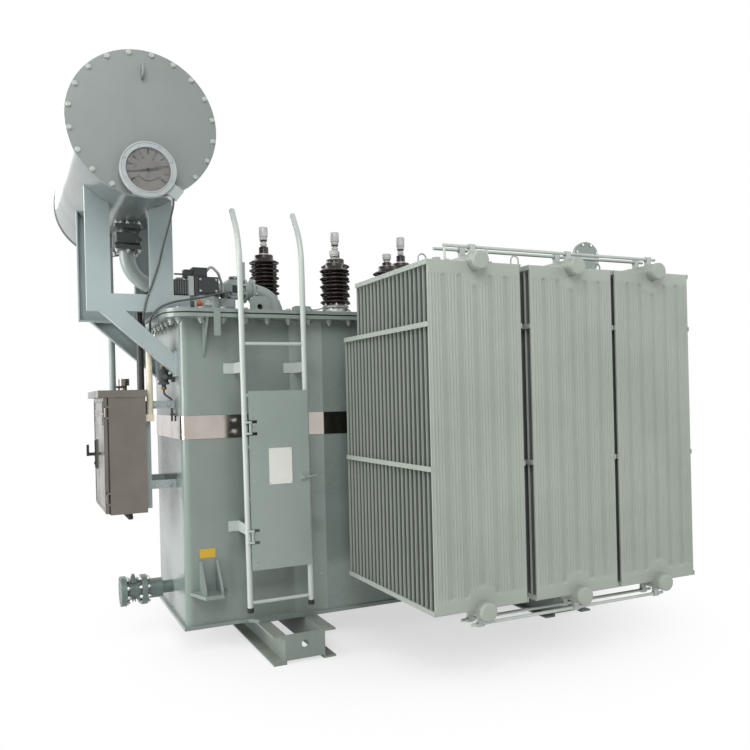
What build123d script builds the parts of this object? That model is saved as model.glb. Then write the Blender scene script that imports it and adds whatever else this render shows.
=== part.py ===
"""Oil-filled power transformer with side radiators, an end conservator and a control cabinet.

Millimetres. The origin lies on the ground under the middle of the tank. X runs along the tank,
with the conservator end at -X. The face with the ladder is at -Y. Z points up.
"""
from build123d import *
import math
import os

# Skids under the tank
SKID_HEIGHT = 160.0
SKID_WIDTH = 362.0
SKID_WEB_SPACING = 234.0
SKID_LENGTH = 1600.0
SKID_STEEL = 10.0
SKID_CENTRE_X = 908.0
SKID_PULL_HOLE_R = 21.0
SKID_PULL_HOLE_Z = 100.0
SKID_ANCHOR_R = 9.0
SKID_ANCHOR_INSET = 90.0

# Tank, its floor plate and its bolted cover
TANK_LENGTH = 2960.0
TANK_DEPTH = 984.0
NECK_STEP = 54.0
NECK_LENGTH = 642.0
NECK_SLOPE_LENGTH = 188.0
TANK_CORNER_R = 40.0
FLOOR_PLATE = 20.0
FLOOR_LIP = 15.0
FLOOR_STEP_LENGTH = 350.0
WALL_HEIGHT = 1735.0
FLANGE_PLATE = 20.0
FLANGE_OVERHANG_X = 100.0
FLANGE_OVERHANG_Y = 88.0
FLANGE_CORNER_R = 140.0
GASKET = 8.0
GASKET_INSET = 6.0
COVER_PLATE = 20.0
BAND_RISE = 1054.0
BAND_HEIGHT = 132.0
BAND_PLATE = 4.0

# Radiators, three on each long side
RADIATOR_WIDTH = 520.0
RADIATOR_LEFT_X = -580.0
RADIATOR_GAPS = (59.0, 27.0)
RADIATOR_REACH = 1196.0
RADIATOR_FOOT_RISE = 237.0
RADIATOR_TOP_RISE = 121.0
RADIATOR_SHORT_DROP = 289.0
PANEL_PITCH = 45.0
PANEL_PLATE = 12.0
TALL_PANELS = 19
SHORT_PANELS = 4
HEADER_R = 44.5
HEADER_CAP_REACH = 60.0
PIPE_BEND_R = 134.0
NECK_FLANGE_R = 85.0
NECK_FLANGE_PLATE = 16.0
STRAP_HEIGHT = 24.0
STRAP_PLATE = 6.0
STRAP_RISE = 687.0
STRAP_DROP = 302.0
TIE_ROD_R = 8.0
TIE_ROD_STANDOFF = 30.0
TIE_ROD_REACH = 160.0
TIE_ROD_END = 50.0
TIE_POST_WIDTH = 30.0
TIE_POST_DEPTH = 20.0
TIE_FOOT_OFFSETS = (-150.0, 88.0)

# Conservator
CONSERVATOR_OUT = 218.0
CONSERVATOR_RISE = 914.0
CONSERVATOR_FRONT_Y = -750.0
CONSERVATOR_BACK_Y = 1150.0
CONSERVATOR_R = 343.0
CONSERVATOR_WALL = 6.0
CONSERVATOR_CAP_R = 376.0
CONSERVATOR_CAP_PLATE = 16.0
CAP_RING_PLATE = 14.0
BACK_CAP_LIP = 6.0
CAP_EYE_DROP = 80.0
GAUGE_R = 140.0
GAUGE_DEPTH = 70.0
GAUGE_OFFSET_X = 10.0
GAUGE_DROP = 252.0
GAUGE_DIAL_R = 112.0
GAUGE_RIM = 14.0
GAUGE_TAB_ANGLE = 37.0
GAUGE_TAB_REACH = 156.0

# Conservator frame
FRAME_PLANE_Y = 331.0
FRAME_FOLD = 50.0
FRAME_STEEL = 8.0
FRAME_COLUMN_WIDTH = 128.0
FRAME_WIDTH = 470.0
FRAME_OFFSET = 24.5
FRAME_TOP_DROP = 227.0
FRAME_BEAM_HEIGHT = 97.0
FRAME_BEAM_INSET = 84.0
STRUT_WIDTH_TOP = 140.0
STRUT_WIDTH_WALL = 116.0
STRUT_DROP = 238.0
STRUT_INSET = 64.5
STRUT_PAD_PLATE = 14.0

# Oil pipe from the conservator to the tank
OIL_PIPE_R = 44.5
OIL_PIPE_RISE = 185.0
OIL_PIPE_BEND_R = 190.0
OIL_VALVE_SIZE = 160.0
OIL_VALVE_HEIGHT = 150.0
OIL_VALVE_FLANGE = 24.0
OIL_VALVE_BODY_INSET = 8.0
OIL_VALVE_BODY_RISES = (38.0, 99.0)
OIL_VALVE_KNOB = (71.0, 51.0)
OIL_VALVE_KNOB_REACH = 38.0
NOZZLE_HEIGHT = 23.0
NOZZLE_CLEARANCE = 6.0
RELAY_INSET = 430.0
RELAY_LENGTH = 120.0
RELAY_R = 62.0
RELAY_VALVE_PLATE = 15.0
RELAY_VALVE_R = 78.0
RELAY_VALVE_BODY = 34.0
COVER_INLET_RUN = 280.0
COVER_INLET_FLANGE_R = 62.0
COVER_INLET_FLANGE = 16.0

# Bushings
HV_X = (-796.0, -280.0, 236.0)
HV_Y = 160.0
HV_SHED_R = 100.0
HV_CORE_R = 62.0
HV_BASE_R = 95.0
HV_BASE_HEIGHT = 70.0
HV_INSULATOR_HEIGHT = 379.0
HV_TERMINAL_HEIGHT = 191.0
HV_SHEDS = 7
LV_X = (-452.0, -75.0, 302.0)
LV_Y = -240.0
LV_SHED_R = 95.0
LV_CORE_R = 56.0
LV_BASE_R = 86.0
LV_BASE_HEIGHT = 76.0
LV_INSULATOR_HEIGHT = 270.0
LV_TERMINAL_HEIGHT = 84.0
LV_SHEDS = 5
BUSHING_TOP_CAP_R = 30.0
BUSHING_STEM_R = 17.0

# Tap changer on the cover
TAP_INSET = 205.0
TAP_Y = -160.0
TAP_FLANGE_R = 106.0
TAP_FLANGE_PLATE = 26.0
TAP_NECK_R = 88.0
TAP_DRIVE_RISE = 114.0
TAP_DRIVE_HEIGHT = 114.0
TAP_DRIVE_WIDTH = 152.0
TAP_DRIVE_DEPTH = 150.0
TAP_FIN_WIDTH = 82.0
TAP_FIN_HEIGHT = 90.0
TAP_FINS = 6
TAP_FIN_PLATE = 7.0
TAP_BRACKET_WIDTH = 30.0

# Control cabinet on the conservator end
CABINET_OUT = 376.0
CABINET_DEPTH = 201.0
CABINET_WIDTH = 600.0
CABINET_RISE = 643.0
CABINET_HEIGHT = 664.0
CABINET_STEEL = 4.0
CABINET_ROOF = 34.0
CABINET_ROOF_REACH = 32.0
ROOF_FRONT_REACH = 56.0
ROOF_BACK_REACH = 7.0
ROOF_GLAND_INSET = 115.0
ROOF_GLAND_Y = -60.0
DOOR_PLATE = 18.0
DOOR_GAP = 5.0
DOOR_SIDE_GAP = 4.0
HINGE_PIN_R = 4.0
HINGE_CLEARANCE = 0.3
HINGE_WALL = 5.0
HINGE_LENGTH = 50.0
HINGE_INSET_Z = 90.0
BRACKET_BEAM = 45.0
BRACKET_STEEL = 6.0
BRACKET_RISES = (146.0, 611.0)
BRACKET_POST_WIDTH = 36.0
BRACKET_INSET = 72.0

# Cables, conduits and the breather
CABLE_R = 6.0
CONDUIT_OUT = 144.0
CONDUIT_Y = -255.0
CONDUIT_R = 18.0
CONDUIT_TOP_DROP = 163.0
CONDUIT_BOX_RISE = 557.0
CONDUIT_BOX_HEIGHT = 40.0
HOSE_OUT = 184.0
HOSE_Y = -200.0
HOSE_R = 20.0
HOSE_BEND_R = 110.0
HOSE_RISE = 13.0
BREATHER_OFFSET = 52.0
BREATHER_Y = 432.0
BREATHER_PIPE_R = 20.0
BREATHER_R = 55.0
BREATHER_DROP = 563.0
BREATHER_HEIGHT = 280.0
WALL_VALVE_Y = -215.0
WALL_VALVE_R = 26.0
WALL_VALVE_DROP = 320.0
WALL_VALVE_REACH = 88.0

# Ladder
LADDER_STANDOFF = 146.0
LADDER_INSETS = (313.0, 672.0)
LADDER_LEAN = (-16.0, -11.0)
LADDER_TUBE_R = 16.0
LADDER_FOOT_RISE = 85.0
LADDER_BEND_RISE = 382.0
LADDER_TOP_RISE = 570.0
LADDER_BEND_R = 400.0
LADDER_BACK = 135.0
RUNG_R = 10.0
RUNG_FIRST_RISE = 54.0
RUNG_PITCH = 288.6
RUNGS = 6
LADDER_BRACKET_HEIGHT = 60.0
LADDER_BRACKET_PLATE = 6.0
LADDER_BRACKET_RISE = 458.0
LADDER_BRACKET_DROP = 282.0
GUARD_PLATE = 4.0
GUARD_RISE = 236.0
GUARD_HEIGHT = 997.0
GUARD_HINGE_RISES = (188.0, 792.0)
GUARD_STANDOFF = 24.0
GUARD_NOTCH = 37.0
GUARD_HINGE_OUT = 3.0
GUARD_PLATE_BACK = 9.0
GUARD_END_INSET = 4.0
GUARD_LOCK_INSET = 41.0
GUARD_LOCK_RISE = 501.0

# Fittings on the tank wall
DRAIN_RISE = 142.0
DRAIN_FLANGE_R = 89.0
DRAIN_FLANGE_PLATE = 16.0
DRAIN_BODY_R = 58.0
DRAIN_STUB_R = 38.0
DRAIN_REACH = 304.0
DRAIN_BOLT_PCD = 145.0
DRAIN_BOLT_R = 9.0
DRAIN_BOLTS = 8
JACK_INSET = 128.0
JACK_TOP_RISE = 192.0
JACK_PLATE = 20.0
JACK_REACH = 152.0
JACK_WIDTH_WALL = 212.0
JACK_WIDTH_FRONT = 104.0
JACK_GUSSET_HEIGHT = 170.0
JACK_GUSSET_SPACING = 92.0
JACK_GUSSET_PLATE = 12.0
LUG_X = (-1030.0, 1150.0)
LUG_INSET_Y = 80.0
LUG_WIDTH = 113.0
LUG_HEIGHT = 84.0
LUG_PLATE = 20.0
LUG_HOLE_R = 17.0
LUG_HOLE_RISE = 24.0
LUG_CORNER_R = 28.0
FLANGE_RIB_INSET = 130.0
FLANGE_RIB_HEIGHT = 222.0
FLANGE_RIB_PLATE = 8.0
HANG_BAR_INSET = 178.0
HANG_BAR_WIDTH = 37.0
HANG_BAR_PLATE = 8.0
HANG_BAR_DROP = 105.0
VENT_INSET_X = 70.0
VENT_INSET_Y = 280.0
VENT_RISE = 449.0
VENT_PIPE_R = 70.0
VENT_CAP_R = 112.0
VENT_CAP_PLATE = 26.0
VENT_BEND_R = 110.0

# Heights and faces that follow from the sizes above
FLOOR_TOP = SKID_HEIGHT + FLOOR_PLATE
FLANGE_BOTTOM = FLOOR_TOP + WALL_HEIGHT
FLANGE_TOP = FLANGE_BOTTOM + FLANGE_PLATE
COVER_TOP = FLANGE_TOP + GASKET + COVER_PLATE
TANK_END = TANK_LENGTH / 2
WALL_Y = TANK_DEPTH / 2
NECK_Y = WALL_Y - NECK_STEP
NECK_END_X = NECK_LENGTH - TANK_END
FLOOR_STEP_X = FLOOR_STEP_LENGTH - TANK_END
FLANGE_END = TANK_END + FLANGE_OVERHANG_X
FLANGE_Y = WALL_Y + FLANGE_OVERHANG_Y
FLANGE_DEPTH = 2 * FLANGE_Y
BAND_BOTTOM_Z = FLOOR_TOP + BAND_RISE
RADIATOR_FRONT_Y = -WALL_Y - RADIATOR_REACH
RADIATOR_BOTTOM_Z = FLOOR_TOP + RADIATOR_FOOT_RISE
RADIATOR_TOP_Z = COVER_TOP + RADIATOR_TOP_RISE
RADIATOR_SHORT_TOP_Z = RADIATOR_TOP_Z - RADIATOR_SHORT_DROP
STRAP_LEVELS = (RADIATOR_BOTTOM_Z + STRAP_RISE, RADIATOR_TOP_Z - STRAP_DROP)
CONSERVATOR_X = -TANK_END - CONSERVATOR_OUT
CONSERVATOR_Z = COVER_TOP + CONSERVATOR_RISE
FRAME_TOP_Z = CONSERVATOR_Z - FRAME_TOP_DROP
FRAME_BEAM_END_X = FRAME_BEAM_INSET - TANK_END
OIL_PIPE_Z = COVER_TOP + OIL_PIPE_RISE
RELAY_X = RELAY_INSET - TANK_END
COVER_INLET_X = RELAY_X + COVER_INLET_RUN
TAP_X = TAP_INSET - TANK_END
TAP_DRIVE_Z = COVER_TOP + TAP_DRIVE_RISE
CABINET_FRONT_X = -TANK_END - CABINET_OUT
CABINET_BACK_X = CABINET_FRONT_X + CABINET_DEPTH
CABINET_BOTTOM_Z = FLOOR_TOP + CABINET_RISE
CABINET_TOP_Z = CABINET_BOTTOM_Z + CABINET_HEIGHT
BRACKET_LEVELS = [CABINET_BOTTOM_Z + rise for rise in BRACKET_RISES]
CONDUIT_X = -TANK_END - CONDUIT_OUT
CONDUIT_TOP_Z = COVER_TOP - CONDUIT_TOP_DROP
CONDUIT_BOX_Z = CABINET_BOTTOM_Z + CONDUIT_BOX_RISE
HOSE_X = -TANK_END - HOSE_OUT
HOSE_TOP_Z = TAP_DRIVE_Z + HOSE_RISE
BREATHER_X = CONSERVATOR_X - BREATHER_OFFSET
BREATHER_TOP_Z = COVER_TOP - BREATHER_DROP
WALL_VALVE_Z = FLANGE_BOTTOM - WALL_VALVE_DROP
LADDER_Y = -WALL_Y - LADDER_STANDOFF
LADDER_X = [inset - TANK_END for inset in LADDER_INSETS]
LADDER_FOOT_Z = FLOOR_TOP + LADDER_FOOT_RISE
LADDER_BEND_Z = COVER_TOP + LADDER_BEND_RISE
LADDER_TOP_Z = COVER_TOP + LADDER_TOP_RISE
LADDER_BRACKET_LEVELS = [LADDER_FOOT_Z + LADDER_BRACKET_RISE, FLANGE_BOTTOM - LADDER_BRACKET_DROP]
GUARD_BOTTOM_Z = LADDER_FOOT_Z + GUARD_RISE
GUARD_HINGE_LEVELS = [GUARD_BOTTOM_Z + rise for rise in GUARD_HINGE_RISES]
GUARD_LOCK_Z = GUARD_BOTTOM_Z + GUARD_LOCK_RISE
DRAIN_Z = FLOOR_TOP + DRAIN_RISE
JACK_X = TANK_END - JACK_INSET
JACK_TOP_Z = FLOOR_TOP + JACK_TOP_RISE
LUG_Y = FLANGE_Y - LUG_INSET_Y
FLANGE_RIB_X = TANK_END - FLANGE_RIB_INSET
HANG_BAR_X = HANG_BAR_INSET - TANK_END
HANG_BAR_BOTTOM_Z = FLANGE_BOTTOM - HANG_BAR_DROP
VENT_X = TANK_END - VENT_INSET_X
VENT_Y = VENT_INSET_Y - FLANGE_Y
VENT_Z = COVER_TOP + VENT_RISE


def save(shape, node):
    """Write one sub-part to its own file."""
    export_step(shape, f"parts/{node}.step")


def block(x, y, z):
    """A box from three (low, high) pairs."""
    size = [high - low for low, high in (x, y, z)]
    middle = [(low + high) / 2 for low, high in (x, y, z)]
    return Pos(*middle) * Box(*size)


def rod(start, end, radius):
    """A round bar between two points."""
    start, end = Vector(*start), Vector(*end)
    along = end - start
    plane = Plane(origin=start, z_dir=along)
    return plane * Cylinder(radius, along.length, align=(Align.CENTER, Align.CENTER, Align.MIN))


def bent_pipe(points, bends, radius):
    """A round bar along straight runs joined by tangent arcs."""
    path = FilletPolyline(*points, radius=bends)
    return sweep(Plane(origin=path @ 0, z_dir=path % 0) * Circle(radius), path=path)


def upright(points, y_low, y_high):
    """A plate cut to (x, z) points, standing between two Y planes."""
    outline = Face(Wire.make_polygon([(x, y_low, z) for x, z in points]))
    return extrude(outline, amount=y_high - y_low, dir=(0, 1, 0))


def cross_plate(points, x_low, x_high):
    """A plate cut to (y, z) points, standing between two X planes."""
    outline = Face(Wire.make_polygon([(x_low, y, z) for y, z in points]))
    return extrude(outline, amount=x_high - x_low, dir=(1, 0, 0))


def flat_plate(points, z_low, z_high):
    """A plate cut to (x, y) points, lying between two heights."""
    outline = Face(Wire.make_polygon([(x, y, z_low) for x, y in points]))
    return extrude(outline, amount=z_high - z_low, dir=(0, 0, 1))


def both_sides(shape):
    """A shape and its mirror image on the far side of the tank."""
    return Compound([shape, mirror(shape, about=Plane.XZ)])


def tank_outline(lip, step_x=NECK_END_X, slope=NECK_SLOPE_LENGTH):
    """Plan of the tank, with its narrower left end, grown by a lip all round."""
    end, neck, wide = TANK_END + lip, NECK_Y + lip, WALL_Y + lip
    half = [(-end, -neck), (step_x, -neck), (step_x + slope, -wide), (end, -wide)]
    back = [(x, -y) for x, y in reversed(half)]
    return half + back


def rounded_tank(lip, z_low, z_high):
    """The tank's plan raised between two heights, with its four end corners rounded."""
    solid = flat_plate(tank_outline(lip), z_low, z_high)
    corners = [e for e in solid.edges().filter_by(Axis.Z) if abs(e.center().X) > TANK_END - 1]
    return fillet(corners, TANK_CORNER_R + lip)


def rounded_slab(length, depth, corner, z_low, z_high):
    """A flat plate with rounded corners, centred on the tank."""
    return Pos(0, 0, z_low) * extrude(RectangleRounded(length, depth, corner), z_high - z_low)


def make_tank():
    """Tank walls, floor plate, bolted cover and the bright band."""
    save(rounded_tank(0, FLOOR_TOP, FLANGE_BOTTOM), "tank_body")
    save(flat_plate(tank_outline(FLOOR_LIP, FLOOR_STEP_X, 50), SKID_HEIGHT, FLOOR_TOP), "floor_plate")
    length = 2 * FLANGE_END
    save(rounded_slab(length, FLANGE_DEPTH, FLANGE_CORNER_R, FLANGE_BOTTOM, FLANGE_TOP), "tank_flange")
    inner = 2 * GASKET_INSET
    save(rounded_slab(length - inner, FLANGE_DEPTH - inner, FLANGE_CORNER_R - GASKET_INSET,
                      FLANGE_TOP, FLANGE_TOP + GASKET), "cover_gasket")
    save(rounded_slab(length, FLANGE_DEPTH, FLANGE_CORNER_R, COVER_TOP - COVER_PLATE, COVER_TOP),
         "tank_cover")
    band_top = BAND_BOTTOM_Z + BAND_HEIGHT
    band = rounded_tank(BAND_PLATE, BAND_BOTTOM_Z, band_top) - rounded_tank(0, BAND_BOTTOM_Z, band_top)
    save(band, "bright_band")


def make_skid(centre_x):
    """A pair of channels with a closing plate and pulling hole at each end."""
    half, web, steel = SKID_WIDTH / 2, SKID_WEB_SPACING / 2, SKID_STEEL
    end = SKID_LENGTH / 2
    profile = [(-half, 0), (-web + steel, 0), (-web + steel, SKID_HEIGHT), (-half, SKID_HEIGHT),
               (-half, SKID_HEIGHT - steel), (-web, SKID_HEIGHT - steel), (-web, steel), (-half, steel)]
    left = upright([(centre_x + x, z) for x, z in profile], -end, end)
    right = upright([(centre_x - x, z) for x, z in profile], -end, end)
    inner = (centre_x - web + steel, centre_x + web - steel)
    low_z = 20.0
    plates = [block(inner, (-end, -end + steel), (low_z, SKID_HEIGHT)),
              block(inner, (end - steel, end), (low_z, SKID_HEIGHT)),
              block(inner, (-steel / 2, steel / 2), (low_z, SKID_HEIGHT))]
    skid = left + right + plates
    hole = rod((centre_x, -end - 1, SKID_PULL_HOLE_Z), (centre_x, end + 1, SKID_PULL_HOLE_Z), SKID_PULL_HOLE_R)
    middle = block(inner, (-end / 2, end / 2), (0, SKID_HEIGHT))
    skid -= hole - middle
    foot = (half + web) / 2
    for side_x in (-foot, foot):
        for side_y in (-end + SKID_ANCHOR_INSET, end - SKID_ANCHOR_INSET):
            skid -= Pos(centre_x + side_x, side_y, steel / 2) * Cylinder(SKID_ANCHOR_R, 2 * steel)
    return skid


def radiator_lefts():
    """Left edges of the three radiators on one side."""
    lefts = [RADIATOR_LEFT_X]
    for gap in RADIATOR_GAPS:
        lefts.append(lefts[-1] + RADIATOR_WIDTH + gap)
    return lefts


def panel_y(index):
    """Front plane of one radiator panel, counted from the outside."""
    return RADIATOR_FRONT_Y + index * PANEL_PITCH


def make_radiator(left):
    """Pressed panels on a top and a bottom header pipe."""
    centre = left + RADIATOR_WIDTH / 2
    last_tall = panel_y(TALL_PANELS - 1) + PANEL_PLATE
    last = panel_y(TALL_PANELS + SHORT_PANELS - 1) + PANEL_PLATE
    front = RADIATOR_FRONT_Y - HEADER_CAP_REACH
    top_header = rod((centre, front, RADIATOR_TOP_Z), (centre, last_tall, RADIATOR_TOP_Z), HEADER_R)
    low_header = rod((centre, front, RADIATOR_BOTTOM_Z), (centre, last, RADIATOR_BOTTOM_Z), HEADER_R)
    panels = []
    for index in range(TALL_PANELS + SHORT_PANELS):
        tall = index < TALL_PANELS
        top = RADIATOR_TOP_Z if tall else RADIATOR_SHORT_TOP_Z
        low_y = panel_y(index)
        panels.append(block((left, left + RADIATOR_WIDTH), (low_y, low_y + PANEL_PLATE), (RADIATOR_BOTTOM_Z, top)))
    return top_header.fuse(low_header, *panels)


def make_radiator_pipes(left):
    """Goosenecks above and straight stubs below, from the tank wall to the headers."""
    centre = left + RADIATOR_WIDTH / 2
    last_tall = panel_y(TALL_PANELS - 1) + PANEL_PLATE
    last = panel_y(TALL_PANELS + SHORT_PANELS - 1) + PANEL_PLATE
    low_z = RADIATOR_TOP_Z - 2 * PIPE_BEND_R
    turn_y = (last_tall - WALL_Y) / 2
    plate = NECK_FLANGE_PLATE
    upper = bent_pipe([(centre, last_tall, RADIATOR_TOP_Z), (centre, turn_y, RADIATOR_TOP_Z),
                       (centre, turn_y, low_z), (centre, -WALL_Y, low_z)],
                      [PIPE_BEND_R - 1, PIPE_BEND_R - 1], HEADER_R)
    lower = rod((centre, last, RADIATOR_BOTTOM_Z), (centre, -WALL_Y, RADIATOR_BOTTOM_Z), HEADER_R)
    for level in (low_z, RADIATOR_BOTTOM_Z):
        for back in (0.0, plate):
            start = -WALL_Y - 40 - back
            disc = rod((centre, start - plate + 2, level), (centre, start, level), NECK_FLANGE_R)
            if level == low_z:
                upper += disc
            else:
                lower += disc
    return [upper, lower]


def make_straps(left):
    """Flat straps along both edges of one radiator's panels."""
    front = RADIATOR_FRONT_Y
    last_tall = panel_y(TALL_PANELS - 1) + PANEL_PLATE
    last = panel_y(TALL_PANELS + SHORT_PANELS - 1) + PANEL_PLATE
    levels = [(RADIATOR_BOTTOM_Z, last), (STRAP_LEVELS[0] - STRAP_HEIGHT / 2, last),
              (STRAP_LEVELS[1] - STRAP_HEIGHT / 2, last), (RADIATOR_TOP_Z - STRAP_HEIGHT, last_tall)]
    right = left + RADIATOR_WIDTH
    straps = []
    for low, back in levels:
        straps.append(block((left - STRAP_PLATE, left), (front, back), (low, low + STRAP_HEIGHT)))
        straps.append(block((right, right + STRAP_PLATE), (front, back), (low, low + STRAP_HEIGHT)))
    return straps


def make_tie_bars():
    """Rods that tie the three radiators of one side together, on posts at their headers."""
    centres = [left + RADIATOR_WIDTH / 2 for left in radiator_lefts()]
    first = RADIATOR_FRONT_Y + (PANEL_PLATE + PANEL_PITCH) / 2
    half_x, half_y = TIE_POST_WIDTH / 2, TIE_POST_DEPTH / 2
    bars = []
    for header_z, up in ((RADIATOR_TOP_Z, 1), (RADIATOR_BOTTOM_Z, -1)):
        level = header_z + up * (HEADER_R + TIE_ROD_STANDOFF)
        reach = TIE_ROD_REACH if up > 0 else TIE_ROD_END
        for y in (first, first + 2 * PANEL_PITCH):
            bar = rod((centres[0] - reach, y, level), (centres[-1] + TIE_ROD_END, y, level), TIE_ROD_R)
            for centre in centres:
                span = sorted((header_z, level + up * (TIE_ROD_R + 4)))
                post = block((centre - half_x, centre + half_x), (y - half_y, y + half_y), span)
                bar += post - rod((centre, y - half_y, header_z), (centre, y + half_y, header_z), HEADER_R)
            if up > 0 and y == first:
                for offset_x in TIE_FOOT_OFFSETS:
                    foot_x = centres[0] + offset_x
                    bar += rod((foot_x, y, header_z + 6), (foot_x, y, level), TIE_ROD_R - 2)
                    bar += block((foot_x - 10, foot_x + 10), (RADIATOR_FRONT_Y, y + PANEL_PITCH / 2),
                                 (header_z, header_z + 6))
            bars += bar.solids()
    return bars


def make_radiators():
    """Both banks of radiators with their pipes, straps and tie bars."""
    pipes, straps = [], []
    for number, left in enumerate(radiator_lefts(), start=1):
        radiator = make_radiator(left)
        save(radiator, f"radiator_front_{number}")
        save(mirror(radiator, about=Plane.XZ), f"radiator_back_{number}")
        pipes += make_radiator_pipes(left)
        straps += make_straps(left)
    ties = make_tie_bars()
    for name, shapes in (("radiator_pipes", pipes), ("radiator_straps", straps), ("radiator_tie_bars", ties)):
        save(Compound([both for shape in shapes for both in both_sides(shape).solids()]), name)


def drum_space(radius=CONSERVATOR_R):
    """The conservator's round body as one solid, for cutting what lies against it."""
    x, z = CONSERVATOR_X, CONSERVATOR_Z
    return rod((x, CONSERVATOR_FRONT_Y, z), (x, CONSERVATOR_BACK_Y, z), radius)


def make_conservator():
    """Drum, bolted front cap, welded back cap and the oil level gauge, which is also given back."""
    x, z = CONSERVATOR_X, CONSERVATOR_Z
    start = CONSERVATOR_FRONT_Y + CONSERVATOR_CAP_PLATE
    end = CONSERVATOR_BACK_Y - CONSERVATOR_CAP_PLATE
    drum = rod((x, start, z), (x, end, z), CONSERVATOR_R)
    drum += rod((x, start, z), (x, start + CAP_RING_PLATE, z), CONSERVATOR_CAP_R)
    drum -= rod((x, start, z), (x, end, z), CONSERVATOR_R - CONSERVATOR_WALL)
    save(drum, "conservator_drum")
    front = rod((x, start, z), (x, CONSERVATOR_FRONT_Y, z), CONSERVATOR_CAP_R)
    eye_z = z + CONSERVATOR_R - CAP_EYE_DROP
    eye = block((x - 6, x + 6), (CONSERVATOR_FRONT_Y - 34, CONSERVATOR_FRONT_Y), (eye_z - 22, eye_z + 22))
    eye -= rod((x - 8, CONSERVATOR_FRONT_Y - 18, eye_z), (x + 8, CONSERVATOR_FRONT_Y - 18, eye_z), 10)
    save(front + eye, "conservator_cap_front")
    back = rod((x, end, z), (x, CONSERVATOR_BACK_Y, z), CONSERVATOR_R + BACK_CAP_LIP)
    save(back, "conservator_cap_back")
    gx, gz = x + GAUGE_OFFSET_X, z - GAUGE_DROP
    face = CONSERVATOR_FRONT_Y - GAUGE_DEPTH
    gauge = rod((gx, CONSERVATOR_FRONT_Y, gz), (gx, face, gz), GAUGE_DIAL_R)
    gauge += rod((gx, face + 30, gz), (gx, face, gz), GAUGE_R)
    tab = math.radians(-GAUGE_TAB_ANGLE)
    tab_x, tab_z = gx + GAUGE_TAB_REACH * math.cos(tab), gz + GAUGE_TAB_REACH * math.sin(tab)
    gauge += Pos(tab_x, face + 20, tab_z) * Rot(0, GAUGE_TAB_ANGLE, 0) * Box(84, 20, 62)
    gauge -= rod((gx, face, gz), (gx, face + GAUGE_RIM, gz), GAUGE_DIAL_R)
    save(gauge, "oil_gauge")
    save(rod((gx, face + GAUGE_RIM, gz), (gx, face + GAUGE_RIM - 4, gz), GAUGE_DIAL_R), "oil_gauge_dial")
    return gauge


def pressed_plate(points, inward, face_y):
    """A plate with a folded rim: (x, z) points, its flat face at face_y, folds running inward."""
    low, high = sorted((face_y, face_y + inward * FRAME_FOLD))
    whole = upright(points, low, high)
    outline = Face(Wire.make_polygon([(x, 0, z) for x, z in points]))
    inner = offset(outline, amount=-FRAME_STEEL, kind=Kind.INTERSECTION)
    start = face_y + inward * FRAME_STEEL
    pocket = Pos(0, start, 0) * extrude(inner, amount=FRAME_FOLD, dir=(0, inward, 0))
    return whole - pocket


def make_frames():
    """Two folded frames that carry the conservator, each with a strut down to the tank wall."""
    left = CONSERVATOR_X - FRAME_OFFSET - FRAME_WIDTH / 2
    right = left + FRAME_WIDTH
    low, beam = COVER_TOP, COVER_TOP + FRAME_BEAM_HEIGHT
    width = FRAME_COLUMN_WIDTH
    points = [(left, low), (FRAME_BEAM_END_X, low), (FRAME_BEAM_END_X, beam), (right, beam), (right, FRAME_TOP_Z),
              (right - width, FRAME_TOP_Z), (right - width, beam), (left + width, beam),
              (left + width, FRAME_TOP_Z), (left, FRAME_TOP_Z)]
    drum = drum_space()
    wall = -TANK_END - STRUT_PAD_PLATE
    top_left = left + STRUT_INSET
    strut_points = [(top_left, low), (top_left + STRUT_WIDTH_TOP, low), (wall, low - STRUT_DROP),
                    (wall, low - STRUT_DROP - STRUT_WIDTH_WALL)]
    for name, side in (("front", -1), ("back", 1)):
        face = side * FRAME_PLANE_Y
        save(pressed_plate(points, -side, face) - drum, f"conservator_frame_{name}")
        strut = pressed_plate(strut_points, -side, face)
        pad_y = sorted((face + side * 20, face - side * (FRAME_FOLD + 20)))
        pad_z = (low - STRUT_DROP - STRUT_WIDTH_WALL - 15, low - STRUT_DROP + 15)
        strut += block((wall, -TANK_END), pad_y, pad_z)
        save(strut, f"conservator_strut_{name}")


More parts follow.
